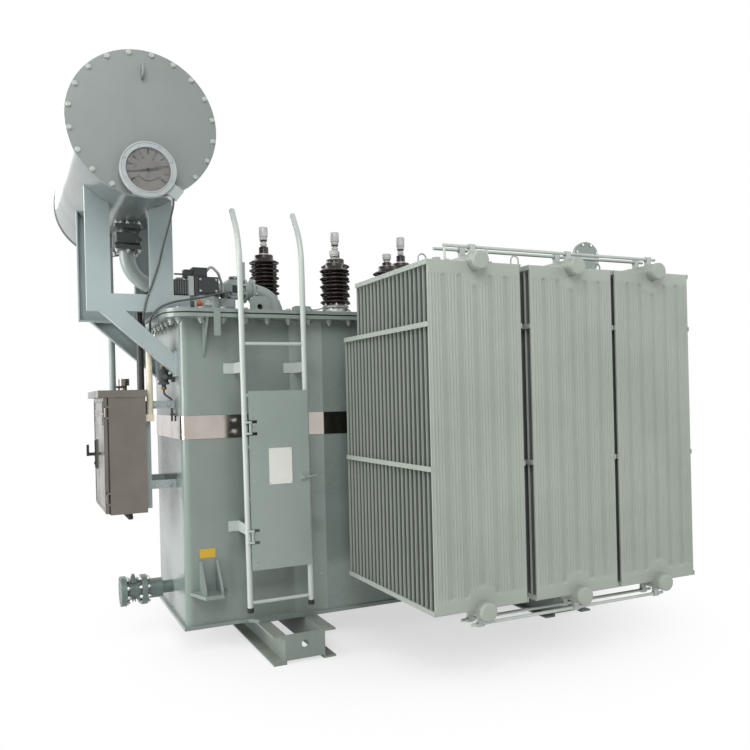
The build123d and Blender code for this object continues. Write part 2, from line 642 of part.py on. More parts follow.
def make_oil_pipe():
    """Valve under the conservator, bent pipe, gas relay (given back) with its valve, run to the cover."""
    x = CONSERVATOR_X
    size = OIL_VALVE_SIZE / 2
    bottom = CONSERVATOR_Z - CONSERVATOR_R
    valve_top = bottom - NOZZLE_HEIGHT
    start = valve_top - OIL_VALVE_HEIGHT
    valve = rod((x, 0, start), (x, 0, bottom + 20), OIL_PIPE_R + NOZZLE_CLEARANCE) - drum_space()
    body_low, body_high = [start + rise for rise in OIL_VALVE_BODY_RISES]
    for half, low, high in ((size, start, start + OIL_VALVE_FLANGE),
                            (size - OIL_VALVE_BODY_INSET, body_low, body_high),
                            (size, valve_top - OIL_VALVE_FLANGE, valve_top)):
        stage = block((x - half, x + half), (-half, half), (low, high))
        valve += fillet(stage.edges().filter_by(Axis.Z), 14)
    knob_x, knob_z = x + OIL_VALVE_KNOB[0], start + OIL_VALVE_KNOB[1]
    valve += rod((knob_x - 12, -size + 12, knob_z), (knob_x - 12, -size - OIL_VALVE_KNOB_REACH, knob_z), 14)
    save(valve, "conservator_valve")
    relay_start = RELAY_X - RELAY_LENGTH / 2
    pipe = bent_pipe([(x, 0, start), (x, 0, OIL_PIPE_Z), (relay_start, 0, OIL_PIPE_Z)],
                     [OIL_PIPE_BEND_R], OIL_PIPE_R)
    save(pipe, "oil_pipe")
    relay_end = RELAY_X + RELAY_LENGTH / 2
    relay = rod((relay_start, 0, OIL_PIPE_Z), (relay_end, 0, OIL_PIPE_Z), RELAY_R - 8)
    relay += block((relay_start + 14, relay_end - 14), (-RELAY_R, RELAY_R), (OIL_PIPE_Z - 50, OIL_PIPE_Z + 62))
    relay += rod((RELAY_X, 0, OIL_PIPE_Z + 60), (RELAY_X, 0, OIL_PIPE_Z + 88), 30)
    save(relay, "gas_relay")
    plate, gap = RELAY_VALVE_PLATE, RELAY_VALVE_BODY
    valve_end = relay_end + 2 * plate + gap
    shut_off = rod((relay_end, 0, OIL_PIPE_Z), (relay_end + plate, 0, OIL_PIPE_Z), RELAY_VALVE_R)
    shut_off += rod((relay_end + plate, 0, OIL_PIPE_Z), (valve_end - plate, 0, OIL_PIPE_Z), RELAY_VALVE_R - 20)
    shut_off += rod((valve_end - plate, 0, OIL_PIPE_Z), (valve_end, 0, OIL_PIPE_Z), RELAY_VALVE_R)
    lever_x = relay_end + plate - 8
    shut_off += rod((lever_x, 0, OIL_PIPE_Z + 60), (lever_x, 0, OIL_PIPE_Z + 100), 10)
    shut_off += block((lever_x - 8, lever_x + 8), (-10, 10), (OIL_PIPE_Z + 92, OIL_PIPE_Z + 184))
    save(shut_off, "relay_valve")
    bend = COVER_INLET_X - valve_end - 4
    inlet = bent_pipe([(valve_end, 0, OIL_PIPE_Z), (COVER_INLET_X, 0, OIL_PIPE_Z), (COVER_INLET_X, 0, COVER_TOP)],
                      [min(bend, OIL_PIPE_Z - COVER_TOP - 24)], OIL_PIPE_R)
    flange_top = COVER_TOP + COVER_INLET_FLANGE
    inlet += rod((COVER_INLET_X, 0, COVER_TOP), (COVER_INLET_X, 0, flange_top), COVER_INLET_FLANGE_R)
    save(inlet, "cover_inlet_pipe")
    return relay


def shed_profile(core, shed, height, sheds):
    """Outline of a ribbed insulator as (radius, height) points, large sheds between small ones."""
    pitch = height / (sheds + 0.5)
    points = [(0, 0), (core, 0)]
    for index in range(sheds):
        low = (index + 0.45) * pitch
        small = core + (shed - core) * 0.68
        points += [(core, low), (shed, low + 0.12 * pitch), (shed, low + 0.2 * pitch), (core, low + 0.42 * pitch)]
        if index < sheds - 1:
            points += [(core, low + 0.52 * pitch), (small, low + 0.62 * pitch),
                       (small, low + 0.68 * pitch), (core, low + 0.84 * pitch)]
    points += [(core, height), (0, height)]
    return points


def insulator(x, y, z, core, shed, height, sheds):
    """One ribbed insulator standing at a point."""
    points = shed_profile(core, shed, height, sheds)
    outline = Face(Wire.make_polygon([(r, 0, h) for r, h in points]))
    return Pos(x, y, z) * revolve(outline, Axis.Z)


def bushing_base(x, y, radius, height, core):
    """Clamped foot of one bushing on the cover."""
    foot = rod((x, y, COVER_TOP), (x, y, COVER_TOP + 16), radius)
    neck = rod((x, y, COVER_TOP + 16), (x, y, COVER_TOP + height - 14), core + 4)
    ring = rod((x, y, COVER_TOP + height - 14), (x, y, COVER_TOP + height), radius - 8)
    return foot + neck + ring


def bushing_terminal(x, y, z, height):
    """Cap, stem and connector on one bushing."""
    collar = rod((x, y, z), (x, y, z + 0.38 * height), BUSHING_TOP_CAP_R + 2)
    stem = rod((x, y, z + 0.36 * height), (x, y, z + 0.66 * height), BUSHING_STEM_R)
    clamp = rod((x, y, z + 0.64 * height), (x, y, z + height), BUSHING_TOP_CAP_R)
    return collar + stem + clamp


def make_bushings():
    """Two rows of three bushings on the cover."""
    bases, hv, lv, terminals = [], [], [], []
    for x in HV_X:
        top = COVER_TOP + HV_BASE_HEIGHT
        bases.append(bushing_base(x, HV_Y, HV_BASE_R, HV_BASE_HEIGHT, HV_CORE_R))
        hv.append(insulator(x, HV_Y, top, HV_CORE_R, HV_SHED_R, HV_INSULATOR_HEIGHT, HV_SHEDS))
        terminals.append(bushing_terminal(x, HV_Y, top + HV_INSULATOR_HEIGHT, HV_TERMINAL_HEIGHT))
    for x in LV_X:
        top = COVER_TOP + LV_BASE_HEIGHT
        bases.append(bushing_base(x, LV_Y, LV_BASE_R, LV_BASE_HEIGHT, LV_CORE_R))
        lv.append(insulator(x, LV_Y, top, LV_CORE_R, LV_SHED_R, LV_INSULATOR_HEIGHT, LV_SHEDS))
        terminals.append(bushing_terminal(x, LV_Y, top + LV_INSULATOR_HEIGHT, LV_TERMINAL_HEIGHT))
    save(Compound(bases), "bushing_bases")
    save(Compound(hv), "hv_insulators")
    save(Compound(lv), "lv_insulators")
    save(Compound(terminals), "bushing_terminals")


def make_tap_changer():
    """Tap changer neck, its drive housing with fins, and the bracket between them."""
    x, y = TAP_X, TAP_Y
    head = rod((x, y, COVER_TOP), (x, y, COVER_TOP + TAP_FLANGE_PLATE), TAP_FLANGE_R)
    head += rod((x, y, COVER_TOP + TAP_FLANGE_PLATE), (x, y, TAP_DRIVE_Z), TAP_NECK_R)
    save(head, "tap_changer_head")
    half, depth = TAP_DRIVE_WIDTH / 2, TAP_DRIVE_DEPTH / 2
    low, high = TAP_DRIVE_Z, TAP_DRIVE_Z + TAP_DRIVE_HEIGHT
    drive = block((x - half, x + half), (y - depth, y + depth), (low, high))
    drive = fillet(drive.edges().filter_by(Axis.Z), 16)
    drive += block((x - half, x + 10), (y - 50, y + 40), (high, high + 58))
    save(drive, "tap_changer_drive")
    bracket_x = x - half - TAP_BRACKET_WIDTH
    bracket = block((bracket_x, x - half), (y - depth, y + depth), (low, high))
    save(bracket, "tap_changer_bracket")
    fin_left = bracket_x - TAP_FIN_WIDTH
    core = block((fin_left + 6, bracket_x), (y - 42, y + 42), (low + 12, low + TAP_FIN_HEIGHT))
    pitch = TAP_FIN_WIDTH / TAP_FINS
    fins = [block((fin_left + index * pitch, fin_left + index * pitch + TAP_FIN_PLATE), (y - 62, y + 62),
                  (low + 4, low + 4 + TAP_FIN_HEIGHT)) for index in range(TAP_FINS)]
    save(core.fuse(*fins), "tap_changer_motor")


def make_cabinet():
    """Control cabinet with roof, hinged door, brackets and conduits."""
    front, back = CABINET_FRONT_X, CABINET_BACK_X
    half, steel = CABINET_WIDTH / 2, CABINET_STEEL
    low, high = CABINET_BOTTOM_Z, CABINET_TOP_Z
    body = block((front, back), (-half, half), (low, high))
    body -= block((front - 1, back - steel), (-half + steel, half - steel), (low + steel, high - steel))
    hinge_x = front - DOOR_GAP - DOOR_PLATE / 2
    hinge_y = -half + DOOR_SIDE_GAP
    outer = HINGE_PIN_R + HINGE_CLEARANCE + HINGE_WALL
    door = block((front - DOOR_GAP - DOOR_PLATE, front - DOOR_GAP), (-half + 2 * outer, half), (low + 6, high - 6))
    for level in (low + HINGE_INSET_Z, high - HINGE_INSET_Z):
        z0, z1 = level - HINGE_LENGTH / 2, level + HINGE_LENGTH / 2
        knuckle = rod((hinge_x, hinge_y, z0), (hinge_x, hinge_y, z1), outer)
        knuckle += block((hinge_x, hinge_x + 3), (hinge_y, -half + 2 * outer), (z0, z1))
        knuckle -= rod((hinge_x, hinge_y, z0), (hinge_x, hinge_y, z1), HINGE_PIN_R + HINGE_CLEARANCE)
        door += knuckle
        body += rod((hinge_x, hinge_y, z0 - 12), (hinge_x, hinge_y, z1 + 12), HINGE_PIN_R)
        for a, b in ((z0 - 12, z0 - 1), (z1 + 1, z1 + 12)):
            body += block((hinge_x - 6, front), (hinge_y - 6, hinge_y + 6), (a, b))
    handle_y, handle_z = half - 120, low + 0.48 * CABINET_HEIGHT
    door_face = front - DOOR_GAP - DOOR_PLATE
    door += block((door_face - 8, door_face), (handle_y - 18, handle_y + 18), (handle_z - 90, handle_z + 90))
    door += rod((door_face, handle_y, handle_z), (door_face - 60, handle_y, handle_z), 7)
    door += rod((door_face - 54, handle_y, handle_z - 8), (door_face - 54, handle_y, handle_z + 40), 7)
    save(body, "control_cabinet")
    save(door, "cabinet_door")
    reach = CABINET_ROOF_REACH
    roof = block((front - ROOF_FRONT_REACH, back + ROOF_BACK_REACH), (-half - reach, half + reach),
                 (high, high + CABINET_ROOF))
    roof_top, gland_x = high + CABINET_ROOF, front + ROOF_GLAND_INSET
    roof += rod((gland_x, ROOF_GLAND_Y, roof_top), (gland_x, ROOF_GLAND_Y, roof_top + 36), 17)
    roof += rod((gland_x, ROOF_GLAND_Y, roof_top + 30), (gland_x, ROOF_GLAND_Y, roof_top + 70), 31)
    save(roof, "cabinet_roof")
    wall = -TANK_END
    brackets = []
    for side in (-1, 1):
        face = side * (half - BRACKET_INSET)
        y = sorted((face, face - side * BRACKET_BEAM))
        parts = [block((back, wall), y, (level - BRACKET_BEAM / 2, level + BRACKET_BEAM / 2))
                 for level in BRACKET_LEVELS]
        post = block((back, back + BRACKET_POST_WIDTH), y, (low + 14, BRACKET_LEVELS[1] - BRACKET_BEAM / 2))
        bracket = post.fuse(*parts)
        brackets.append(bracket)
    save(Compound(brackets), "cabinet_brackets")


def limp_bends(points):
    """Arc radii for a cable: as large as the shorter run beside each point allows."""
    radii = []
    for before, here, after in zip(points, points[1:], points[2:]):
        one = Vector(*here) - Vector(*before)
        two = Vector(*after) - Vector(*here)
        turn = math.radians(one.get_angle(two))
        radii.append(0.45 * min(one.length, two.length) / math.tan(turn / 2))
    return radii


def from_corner(points):
    """Route points from their distances to the tank's end wall, middle plane and cover."""
    return [(x - TANK_END, y, z + COVER_TOP) for x, y, z in points]


def make_cables(gauge, relay):
    """Gauge and relay cables, the motor hose, the cable conduit and the breather."""
    mouth = CONDUIT_TOP_Z
    gauge_end, relay_end = CONDUIT_X - 9, CONDUIT_X + 9
    gauge_route = from_corner([(-83, -800, 560), (-84, -795, 500), (-86, -700, 441),
                               (-79, -420, 352), (-83, -352, 296), (-101, -345, 232), (-130, -343, 149),
                               (-158, -343, 78), (-176, -345, 6), (-182, -338, -38), (-174, -298, -72),
                               (-159, -262, -100)]) + [(gauge_end, CONDUIT_Y, mouth)]
    relay_route = from_corner([(395, -RELAY_R, 162), (384, -118, 158), (334, -196, 145), (248, -262, 121),
                               (162, -330, 91), (70, -366, 71), (-20, -360, 55), (-92, -356, 25),
                               (-136, -352, -21), (-142, -308, -61), (-132, -266, -101)]) + [(relay_end, CONDUIT_Y, mouth)]
    for name, route, plug in (("gauge_cable", gauge_route, gauge), ("relay_cable", relay_route, relay)):
        bends = limp_bends(route)
        print(name, "radii", [round(bend) for bend in bends])
        cable = bent_pipe(route, bends, CABLE_R) - plug
        cable -= rod((CONDUIT_X, CONDUIT_Y, mouth - 30), (CONDUIT_X, CONDUIT_Y, mouth), CONDUIT_R)
        save(max(cable.solids(), key=lambda piece: piece.volume), name)
    conduit = rod((CONDUIT_X, CONDUIT_Y, CONDUIT_BOX_Z), (CONDUIT_X, CONDUIT_Y, CONDUIT_TOP_Z), CONDUIT_R)
    conduit += block((CABINET_BACK_X, CONDUIT_X + CONDUIT_R + 2), (CONDUIT_Y - 25, CONDUIT_Y + 25),
                     (CONDUIT_BOX_Z - CONDUIT_BOX_HEIGHT, CONDUIT_BOX_Z))
    save(conduit, "cable_conduit")
    roof_top = CABINET_TOP_Z + CABINET_ROOF
    fin_left = TAP_X - TAP_DRIVE_WIDTH / 2 - TAP_BRACKET_WIDTH - TAP_FIN_WIDTH
    hose = bent_pipe([(HOSE_X, HOSE_Y, roof_top), (HOSE_X, HOSE_Y, HOSE_TOP_Z), (fin_left, HOSE_Y, HOSE_TOP_Z)],
                     [HOSE_BEND_R], HOSE_R)
    save(hose, "motor_hose")
    pipe = rod((BREATHER_X, BREATHER_Y, BREATHER_TOP_Z),
               (BREATHER_X, BREATHER_Y, CONSERVATOR_Z - CONSERVATOR_R + 30), BREATHER_PIPE_R)
    save(pipe - drum_space(), "breather_pipe")
    jar = rod((BREATHER_X, BREATHER_Y, BREATHER_TOP_Z - BREATHER_HEIGHT),
              (BREATHER_X, BREATHER_Y, BREATHER_TOP_Z - 30), BREATHER_R)
    jar += rod((BREATHER_X, BREATHER_Y, BREATHER_TOP_Z - 40), (BREATHER_X, BREATHER_Y, BREATHER_TOP_Z), BREATHER_R - 15)
    save(jar, "breather_jar")
    make_wall_valve()


def make_wall_valve():
    """Small sampling valve on the end wall: stub, ribbed body and a tube down."""
    x, y, z = -TANK_END - WALL_VALVE_REACH * 0.64, WALL_VALVE_Y, WALL_VALVE_Z
    valve = rod((-TANK_END, y, z), (x, y, z), 16)
    valve += rod((-TANK_END, y, z), (-TANK_END - 12, y, z), 30)
    valve += rod((x, y, z - 40), (x, y, z + 40), WALL_VALVE_R)
    for low, high in ((-44, -30), (30, 44)):
        valve += rod((x, y, z + low), (x, y, z + high), WALL_VALVE_R + 6)
    valve += rod((x, y, z - 64), (x, y, z + 64), 13)
    save(valve, "wall_valve")


def make_ladder():
    """Tube ladder with wall brackets and a hinged plate that closes its lower rungs."""
    y = LADDER_Y
    stiles = []
    for x, lean in zip(LADDER_X, LADDER_LEAN):
        stiles.append(bent_pipe([(x, y, LADDER_FOOT_Z), (x + lean, y, LADDER_BEND_Z),
                                 (x + lean, y + LADDER_BACK, LADDER_TOP_Z)], [LADDER_BEND_R], LADDER_TUBE_R))
    rise = LADDER_BEND_Z - LADDER_FOOT_Z
    rungs = []
    for index in range(RUNGS):
        z = LADDER_FOOT_Z + RUNG_FIRST_RISE + index * RUNG_PITCH
        share = (z - LADDER_FOOT_Z) / rise
        ends = [x + lean * share for x, lean in zip(LADDER_X, LADDER_LEAN)]
        rungs.append(rod((ends[0], y, z), (ends[1], y, z), RUNG_R))
    ladder = stiles[0].fuse(stiles[1], *rungs)
    hinge_x = LADDER_X[0] + LADDER_TUBE_R + GUARD_HINGE_OUT
    hinge_y = y - GUARD_STANDOFF
    outer = HINGE_PIN_R + HINGE_CLEARANCE + HINGE_WALL
    plate_left = hinge_x - GUARD_PLATE_BACK
    guard = block((plate_left, LADDER_X[1] - GUARD_END_INSET), (hinge_y - GUARD_PLATE / 2, hinge_y + GUARD_PLATE / 2),
                  (GUARD_BOTTOM_Z, GUARD_BOTTOM_Z + GUARD_HEIGHT))
    for level in GUARD_HINGE_LEVELS:
        z0, z1 = level - HINGE_LENGTH / 2, level + HINGE_LENGTH / 2
        guard -= block((plate_left - 1, hinge_x + GUARD_NOTCH), (hinge_y - 6, hinge_y + 6), (z0 - 17, z0))
        guard -= block((plate_left - 1, hinge_x + GUARD_NOTCH), (hinge_y - 6, hinge_y + 6), (z1, z1 + 17))
        guard += rod((hinge_x, hinge_y, z0), (hinge_x, hinge_y, z1), outer)
        guard -= rod((hinge_x, hinge_y, z0 - 1), (hinge_x, hinge_y, z1 + 1), HINGE_PIN_R + HINGE_CLEARANCE)
        ladder += rod((hinge_x, hinge_y, z0 - 12), (hinge_x, hinge_y, z1 + 12), HINGE_PIN_R)
        for a, b in ((z0 - 12, z0 - 1), (z1 + 1, z1 + 12)):
            ladder += block((hinge_x - 31, hinge_x + 6), (hinge_y - 6, y), (a, b))
    lock_x = LADDER_X[1] - GUARD_LOCK_INSET
    guard += rod((lock_x, hinge_y, GUARD_LOCK_Z), (lock_x, hinge_y - 22, GUARD_LOCK_Z), 12)
    guard += rod((lock_x, hinge_y - 14, GUARD_LOCK_Z), (lock_x + 78, hinge_y - 14, GUARD_LOCK_Z + 6), 4)
    save(ladder, "ladder")
    save(guard, "ladder_guard")
    brackets = []
    tank = flat_plate(tank_outline(0), FLOOR_TOP, FLANGE_BOTTOM)
    for level in LADDER_BRACKET_LEVELS:
        share = (level - LADDER_FOOT_Z) / rise
        low, high = level - LADDER_BRACKET_HEIGHT / 2, level + LADDER_BRACKET_HEIGHT / 2
        for x, lean in zip(LADDER_X, LADDER_LEAN):
            centre = x + lean * share
            thick = LADDER_BRACKET_PLATE / 2
            bar = block((centre - thick, centre + thick), (y, -NECK_Y), (low, high))
            bar += block((centre - 60, centre + 10), (-NECK_Y - LADDER_BRACKET_PLATE, -NECK_Y), (low, high))
            bar -= stiles[LADDER_X.index(x)]
            bar -= tank
            brackets.append(max(bar.solids(), key=lambda s: s.volume))
    save(Compound(brackets), "ladder_brackets")


def make_drain_valve():
    """Bottom sampling and drain valve on the conservator end."""
    z, wall = DRAIN_Z, -TANK_END
    face = wall - DRAIN_REACH
    plate = DRAIN_FLANGE_PLATE
    middle = wall - 0.56 * DRAIN_REACH
    valve = rod((wall, 0, z), (middle, 0, z), DRAIN_STUB_R)
    valve += rod((wall - 62, 0, z), (middle, 0, z), DRAIN_BODY_R)
    valve += rod((middle + plate, 0, z), (middle - plate, 0, z), DRAIN_FLANGE_R)
    valve += rod((middle, 0, z), (face, 0, z), DRAIN_BODY_R - 4)
    valve += rod((face + 2 * plate, 0, z), (face, 0, z), DRAIN_FLANGE_R)
    valve += rod((middle - 60, 0, z), (middle - 60, 0, z + 80), 12)
    for index in range(DRAIN_BOLTS):
        angle = math.radians(360 / DRAIN_BOLTS * (index + 0.5))
        y = DRAIN_BOLT_PCD / 2 * math.cos(angle)
        dz = DRAIN_BOLT_PCD / 2 * math.sin(angle)
        valve -= rod((face - 1, y, z + dz), (face + 2 * plate + 1, y, z + dz), DRAIN_BOLT_R)
    save(valve, "drain_valve")


def make_jacking_pad(x, wall_y):
    """Bracket for a jack: a tapered plate with two gussets above it."""
    half_wall, half_front = JACK_WIDTH_WALL / 2, JACK_WIDTH_FRONT / 2
    front = -wall_y - JACK_REACH
    plate = flat_plate([(x - half_wall, -wall_y), (x - half_front, front), (x + half_front, front),
                        (x + half_wall, -wall_y)], JACK_TOP_Z - JACK_PLATE, JACK_TOP_Z)
    top = JACK_TOP_Z + JACK_GUSSET_HEIGHT
    for side in (-1, 1):
        low = x + side * JACK_GUSSET_SPACING / 2 - JACK_GUSSET_PLATE / 2
        plate += cross_plate([(-wall_y, JACK_TOP_Z), (front + 12, JACK_TOP_Z), (front + 12, JACK_TOP_Z + 30),
                              (-wall_y - 70, top - 60), (-wall_y - 26, top), (-wall_y, top)],
                             low, low + JACK_GUSSET_PLATE)
    return plate


def make_lifting_lug(x):
    """Plate with an eye on the cover's edge."""
    half = LUG_WIDTH / 2
    low, high = COVER_TOP, COVER_TOP + LUG_HEIGHT
    lug = block((x - half, x + half), (-LUG_Y - LUG_PLATE / 2, -LUG_Y + LUG_PLATE / 2), (low, high))
    lug = fillet(lug.edges().filter_by(Axis.Y).group_by(Axis.Z)[-1], LUG_CORNER_R)
    eye_z = COVER_TOP + LUG_HOLE_RISE
    return lug - rod((x, -LUG_Y - LUG_PLATE, eye_z), (x, -LUG_Y + LUG_PLATE, eye_z), LUG_HOLE_R)


def make_fittings():
    """Lifting, jacking and flange fittings, and the relief vent."""
    pads = [both_sides(make_jacking_pad(-JACK_X, NECK_Y)), both_sides(make_jacking_pad(JACK_X, WALL_Y))]
    save(Compound(pads[0].solids() + pads[1].solids()), "jacking_pads")
    lugs = [both_sides(make_lifting_lug(x)) for x in LUG_X]
    save(Compound(lugs[0].solids() + lugs[1].solids()), "lifting_lugs")
    ribs = []
    for x, wall in ((-FLANGE_RIB_X, NECK_Y), (FLANGE_RIB_X, WALL_Y)):
        points = [(-wall, FLANGE_BOTTOM), (-FLANGE_Y + 6, FLANGE_BOTTOM), (-wall, FLANGE_BOTTOM - FLANGE_RIB_HEIGHT)]
        rib = cross_plate(points, x - FLANGE_RIB_PLATE / 2, x + FLANGE_RIB_PLATE / 2)
        ribs += both_sides(rib).solids()
    bar = block((HANG_BAR_X - HANG_BAR_WIDTH / 2, HANG_BAR_X + HANG_BAR_WIDTH / 2),
                (-FLANGE_Y - HANG_BAR_PLATE, -FLANGE_Y), (HANG_BAR_BOTTOM_Z, COVER_TOP))
    save(Compound(ribs + bar.solids()), "flange_ribs")
    face = VENT_Y - VENT_BEND_R - 40
    vent = bent_pipe([(VENT_X, VENT_Y, COVER_TOP), (VENT_X, VENT_Y, VENT_Z), (VENT_X, face, VENT_Z)],
                     [VENT_BEND_R], VENT_PIPE_R)
    vent += rod((VENT_X, VENT_Y, COVER_TOP), (VENT_X, VENT_Y, COVER_TOP + 18), VENT_PIPE_R + 32)
    vent += rod((VENT_X, face, VENT_Z), (VENT_X, face - VENT_CAP_PLATE, VENT_Z), VENT_CAP_R)
    save(vent, "relief_vent")


def main():
    """Build every sub-part and write it to its own file."""
    os.makedirs("parts", exist_ok=True)
    make_tank()
    save(make_skid(-SKID_CENTRE_X), "skid_left")
    save(make_skid(SKID_CENTRE_X), "skid_right")
    make_radiators()
    gauge = make_conservator()
    make_frames()
    relay = make_oil_pipe()
    make_bushings()
    make_tap_changer()
    make_cabinet()
    make_cables(gauge, relay)
    make_ladder()
    make_drain_valve()
    make_fittings()


main()
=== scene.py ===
"""The looks of an oil-filled power transformer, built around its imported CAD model.

Sizes are millimetres in the model's own frame: X runs along the tank, the ladder side is at -Y and
Z points up. Only what is handed to Blender is in metres.
"""

import logging
import math
import random
from dataclasses import dataclass
from enum import Enum
from typing import Callable, Iterable, Mapping, Sequence

import bmesh
import bpy
from mathutils import Matrix, Vector


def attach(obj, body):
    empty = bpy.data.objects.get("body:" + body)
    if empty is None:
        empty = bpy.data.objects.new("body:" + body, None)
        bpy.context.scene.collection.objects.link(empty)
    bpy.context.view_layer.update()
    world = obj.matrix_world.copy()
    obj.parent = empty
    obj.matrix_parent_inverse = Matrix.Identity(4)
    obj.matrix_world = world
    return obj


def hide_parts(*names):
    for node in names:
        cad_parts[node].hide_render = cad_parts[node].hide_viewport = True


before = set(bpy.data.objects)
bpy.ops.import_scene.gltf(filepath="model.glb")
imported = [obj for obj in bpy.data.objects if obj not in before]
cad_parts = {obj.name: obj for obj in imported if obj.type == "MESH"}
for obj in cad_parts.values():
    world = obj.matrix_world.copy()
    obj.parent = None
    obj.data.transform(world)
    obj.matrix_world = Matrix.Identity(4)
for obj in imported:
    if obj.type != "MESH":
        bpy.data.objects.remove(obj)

LOG = logging.getLogger("transformer")
MM = 0.001
PHOTO_SIDE = 750
MAIN_BODY = "transformer"
DOOR_BODY = "cabinet_door"
GUARD_BODY = "ladder_guard"

Point = Sequence[float]


class Side(Enum):
    """A long side of the tank, with the sign of its Y."""

    FRONT = -1
    BACK = 1

    @property
    def label(self) -> str:
        """The side's name as the CAD nodes spell it."""
        return self.name.lower()


class Slot(str, Enum):
    """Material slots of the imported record."""

    TANK = "tank_paint"
    RADIATOR = "radiator_paint"
    CONSERVATOR = "conservator_paint"
    FRAME = "frame_paint"
    PIPE = "pipe_paint"
    SKID = "skid_paint"
    LADDER = "ladder_paint"
    BAND = "polished_band"
    CABINET = "cabinet_steel"
    BRACKET = "bracket_steel"
    GLAZE = "insulator_glaze"
    FOOT = "bushing_foot_metal"
    TERMINAL = "terminal_metal"
    DRIVE = "drive_paint"
    MOTOR = "motor_paint"
    GAUGE = "gauge_casting"
    DIAL = "gauge_face"
    GASKET = "gasket_rubber"
    CABLE = "cable_sheath"
    HOSE = "hose_sheath"
    CONDUIT = "conduit_plastic"
    BREATHER = "breather_plastic"
    VALVE = "valve_paint"


def linear(hex_colour: str) -> tuple[float, float, float, float]:
    """Turn an sRGB hex colour into linear light.

    Args:
        hex_colour: six hex digits, with or without a leading #.

    Returns:
        Linear red, green, blue and an alpha of 1.
    """
    digits = hex_colour.lstrip("#")
    values = [int(digits[i:i + 2], 16) / 255 for i in (0, 2, 4)]
    red, green, blue = [v / 12.92 if v <= 0.04045 else ((v + 0.055) / 1.055) ** 2.4 for v in values]
    return red, green, blue, 1.0


def per_mm(size_mm: float) -> float:
    """Texture scale, in cycles per metre, of a pattern whose features are size_mm apart."""
    return 1.0 / (size_mm * MM)


def add_node(tree: bpy.types.NodeTree, kind: str, settings: Mapping | None = None,
             links: Mapping | None = None) -> bpy.types.Node:
    """Add one node to a tree.

    Args:
        tree: the material's or world's node tree.
        kind: Blender's name of the node type.
        settings: input sockets (by name or index) or attributes, and their values.
        links: input sockets (by name or index) and the output sockets that feed them.

    Returns:
        The new node.
    """
    node = tree.nodes.new(kind)
    attributes = {k: v for k, v in (settings or {}).items() if isinstance(k, str) and k not in node.inputs}
    for name, value in attributes.items():
        setattr(node, name, value)
    for name, value in (settings or {}).items():
        if name not in attributes:
            node.inputs[name].default_value = value
    for name, source in (links or {}).items():
        tree.links.new(source, node.inputs[name])
    return node


@dataclass(frozen=True)
class Finish:
    """A surface finish that makes its own node material on first use."""

    name: str

    def material(self) -> bpy.types.Material:
        """The finish as a Blender material."""
        found = bpy.data.materials.get(self.name)
        if found is None:
            found = bpy.data.materials.new(self.name)
            found.use_nodes = True
            tree = found.node_tree
            tree.nodes.clear()
            shader = add_node(tree, "ShaderNodeBsdfPrincipled")
            add_node(tree, "ShaderNodeOutputMaterial", links={"Surface": shader.outputs["BSDF"]})
            place = add_node(tree, "ShaderNodeTexCoord").outputs["Object"]
            self.lay(tree, shader, place)
        return found

    def lay(self, tree: bpy.types.NodeTree, shader: bpy.types.Node, place: bpy.types.NodeSocket) -> None:
        """Build the finish's own nodes.

        Args:
            tree: the material's tree.
            shader: its Principled BSDF.
            place: object coordinates in metres.
        """
        raise NotImplementedError


def blotches(tree: bpy.types.NodeTree, place: bpy.types.NodeSocket, size_mm: float, detail: float = 3.0,
             stretch: Point = (1, 1, 1), low: float = 0.35, high: float = 0.65) -> bpy.types.NodeSocket:
    """A noise mask from 0 to 1.

    Args:
        tree: the tree to add to.
        place: the coordinates to use.
        size_mm: size of one blotch.
        detail: octaves of finer noise in it.
        stretch: how many times longer a blotch is along each axis.
        low: noise level that becomes 0.
        high: noise level that becomes 1.

    Returns:
        The mask's output socket.
    """
    moved = add_node(tree, "ShaderNodeMapping", {"Scale": tuple(1 / s for s in stretch)}, {"Vector": place})
    noise = add_node(tree, "ShaderNodeTexNoise", {"Scale": per_mm(size_mm), "Detail": detail},
                     {"Vector": moved.outputs["Vector"]})
    mask = add_node(tree, "ShaderNodeMapRange", {"From Min": low, "From Max": high},
                    {"Value": noise.outputs["Fac"]})
    return mask.outputs["Result"]


def blend_colours(tree: bpy.types.NodeTree, share: bpy.types.NodeSocket, one: object, two: object,
                  amount: float = 1.0, mode: str = "MIX") -> bpy.types.NodeSocket:
    """Mix two colours by a mask.

    Args:
        tree: the tree to add to.
        share: the mask, 0 for the first colour and 1 for the second.
        one: a linear colour or an output socket.
        two: a linear colour or an output socket.
        amount: strongest share that the second colour may reach.
        mode: Blender's name of the blend mode.

    Returns:
        The mixed colour's socket.
    """
    scaled = add_node(tree, "ShaderNodeMath", {"operation": "MULTIPLY", 1: amount}, {0: share})
    settings, links = {"data_type": "RGBA", "blend_type": mode}, {0: scaled.outputs[0]}
    for index, colour in ((6, one), (7, two)):
        if isinstance(colour, bpy.types.NodeSocket):
            links[index] = colour
        else:
            settings[index] = colour
    return add_node(tree, "ShaderNodeMix", settings, links).outputs[2]


def spread(tree: bpy.types.NodeTree, share: bpy.types.NodeSocket, low: float, high: float) -> bpy.types.NodeSocket:
    """A value that runs from low to high as a mask runs from 0 to 1."""
    node = add_node(tree, "ShaderNodeMapRange", {"To Min": low, "To Max": high}, {"Value": share})
    return node.outputs["Result"]


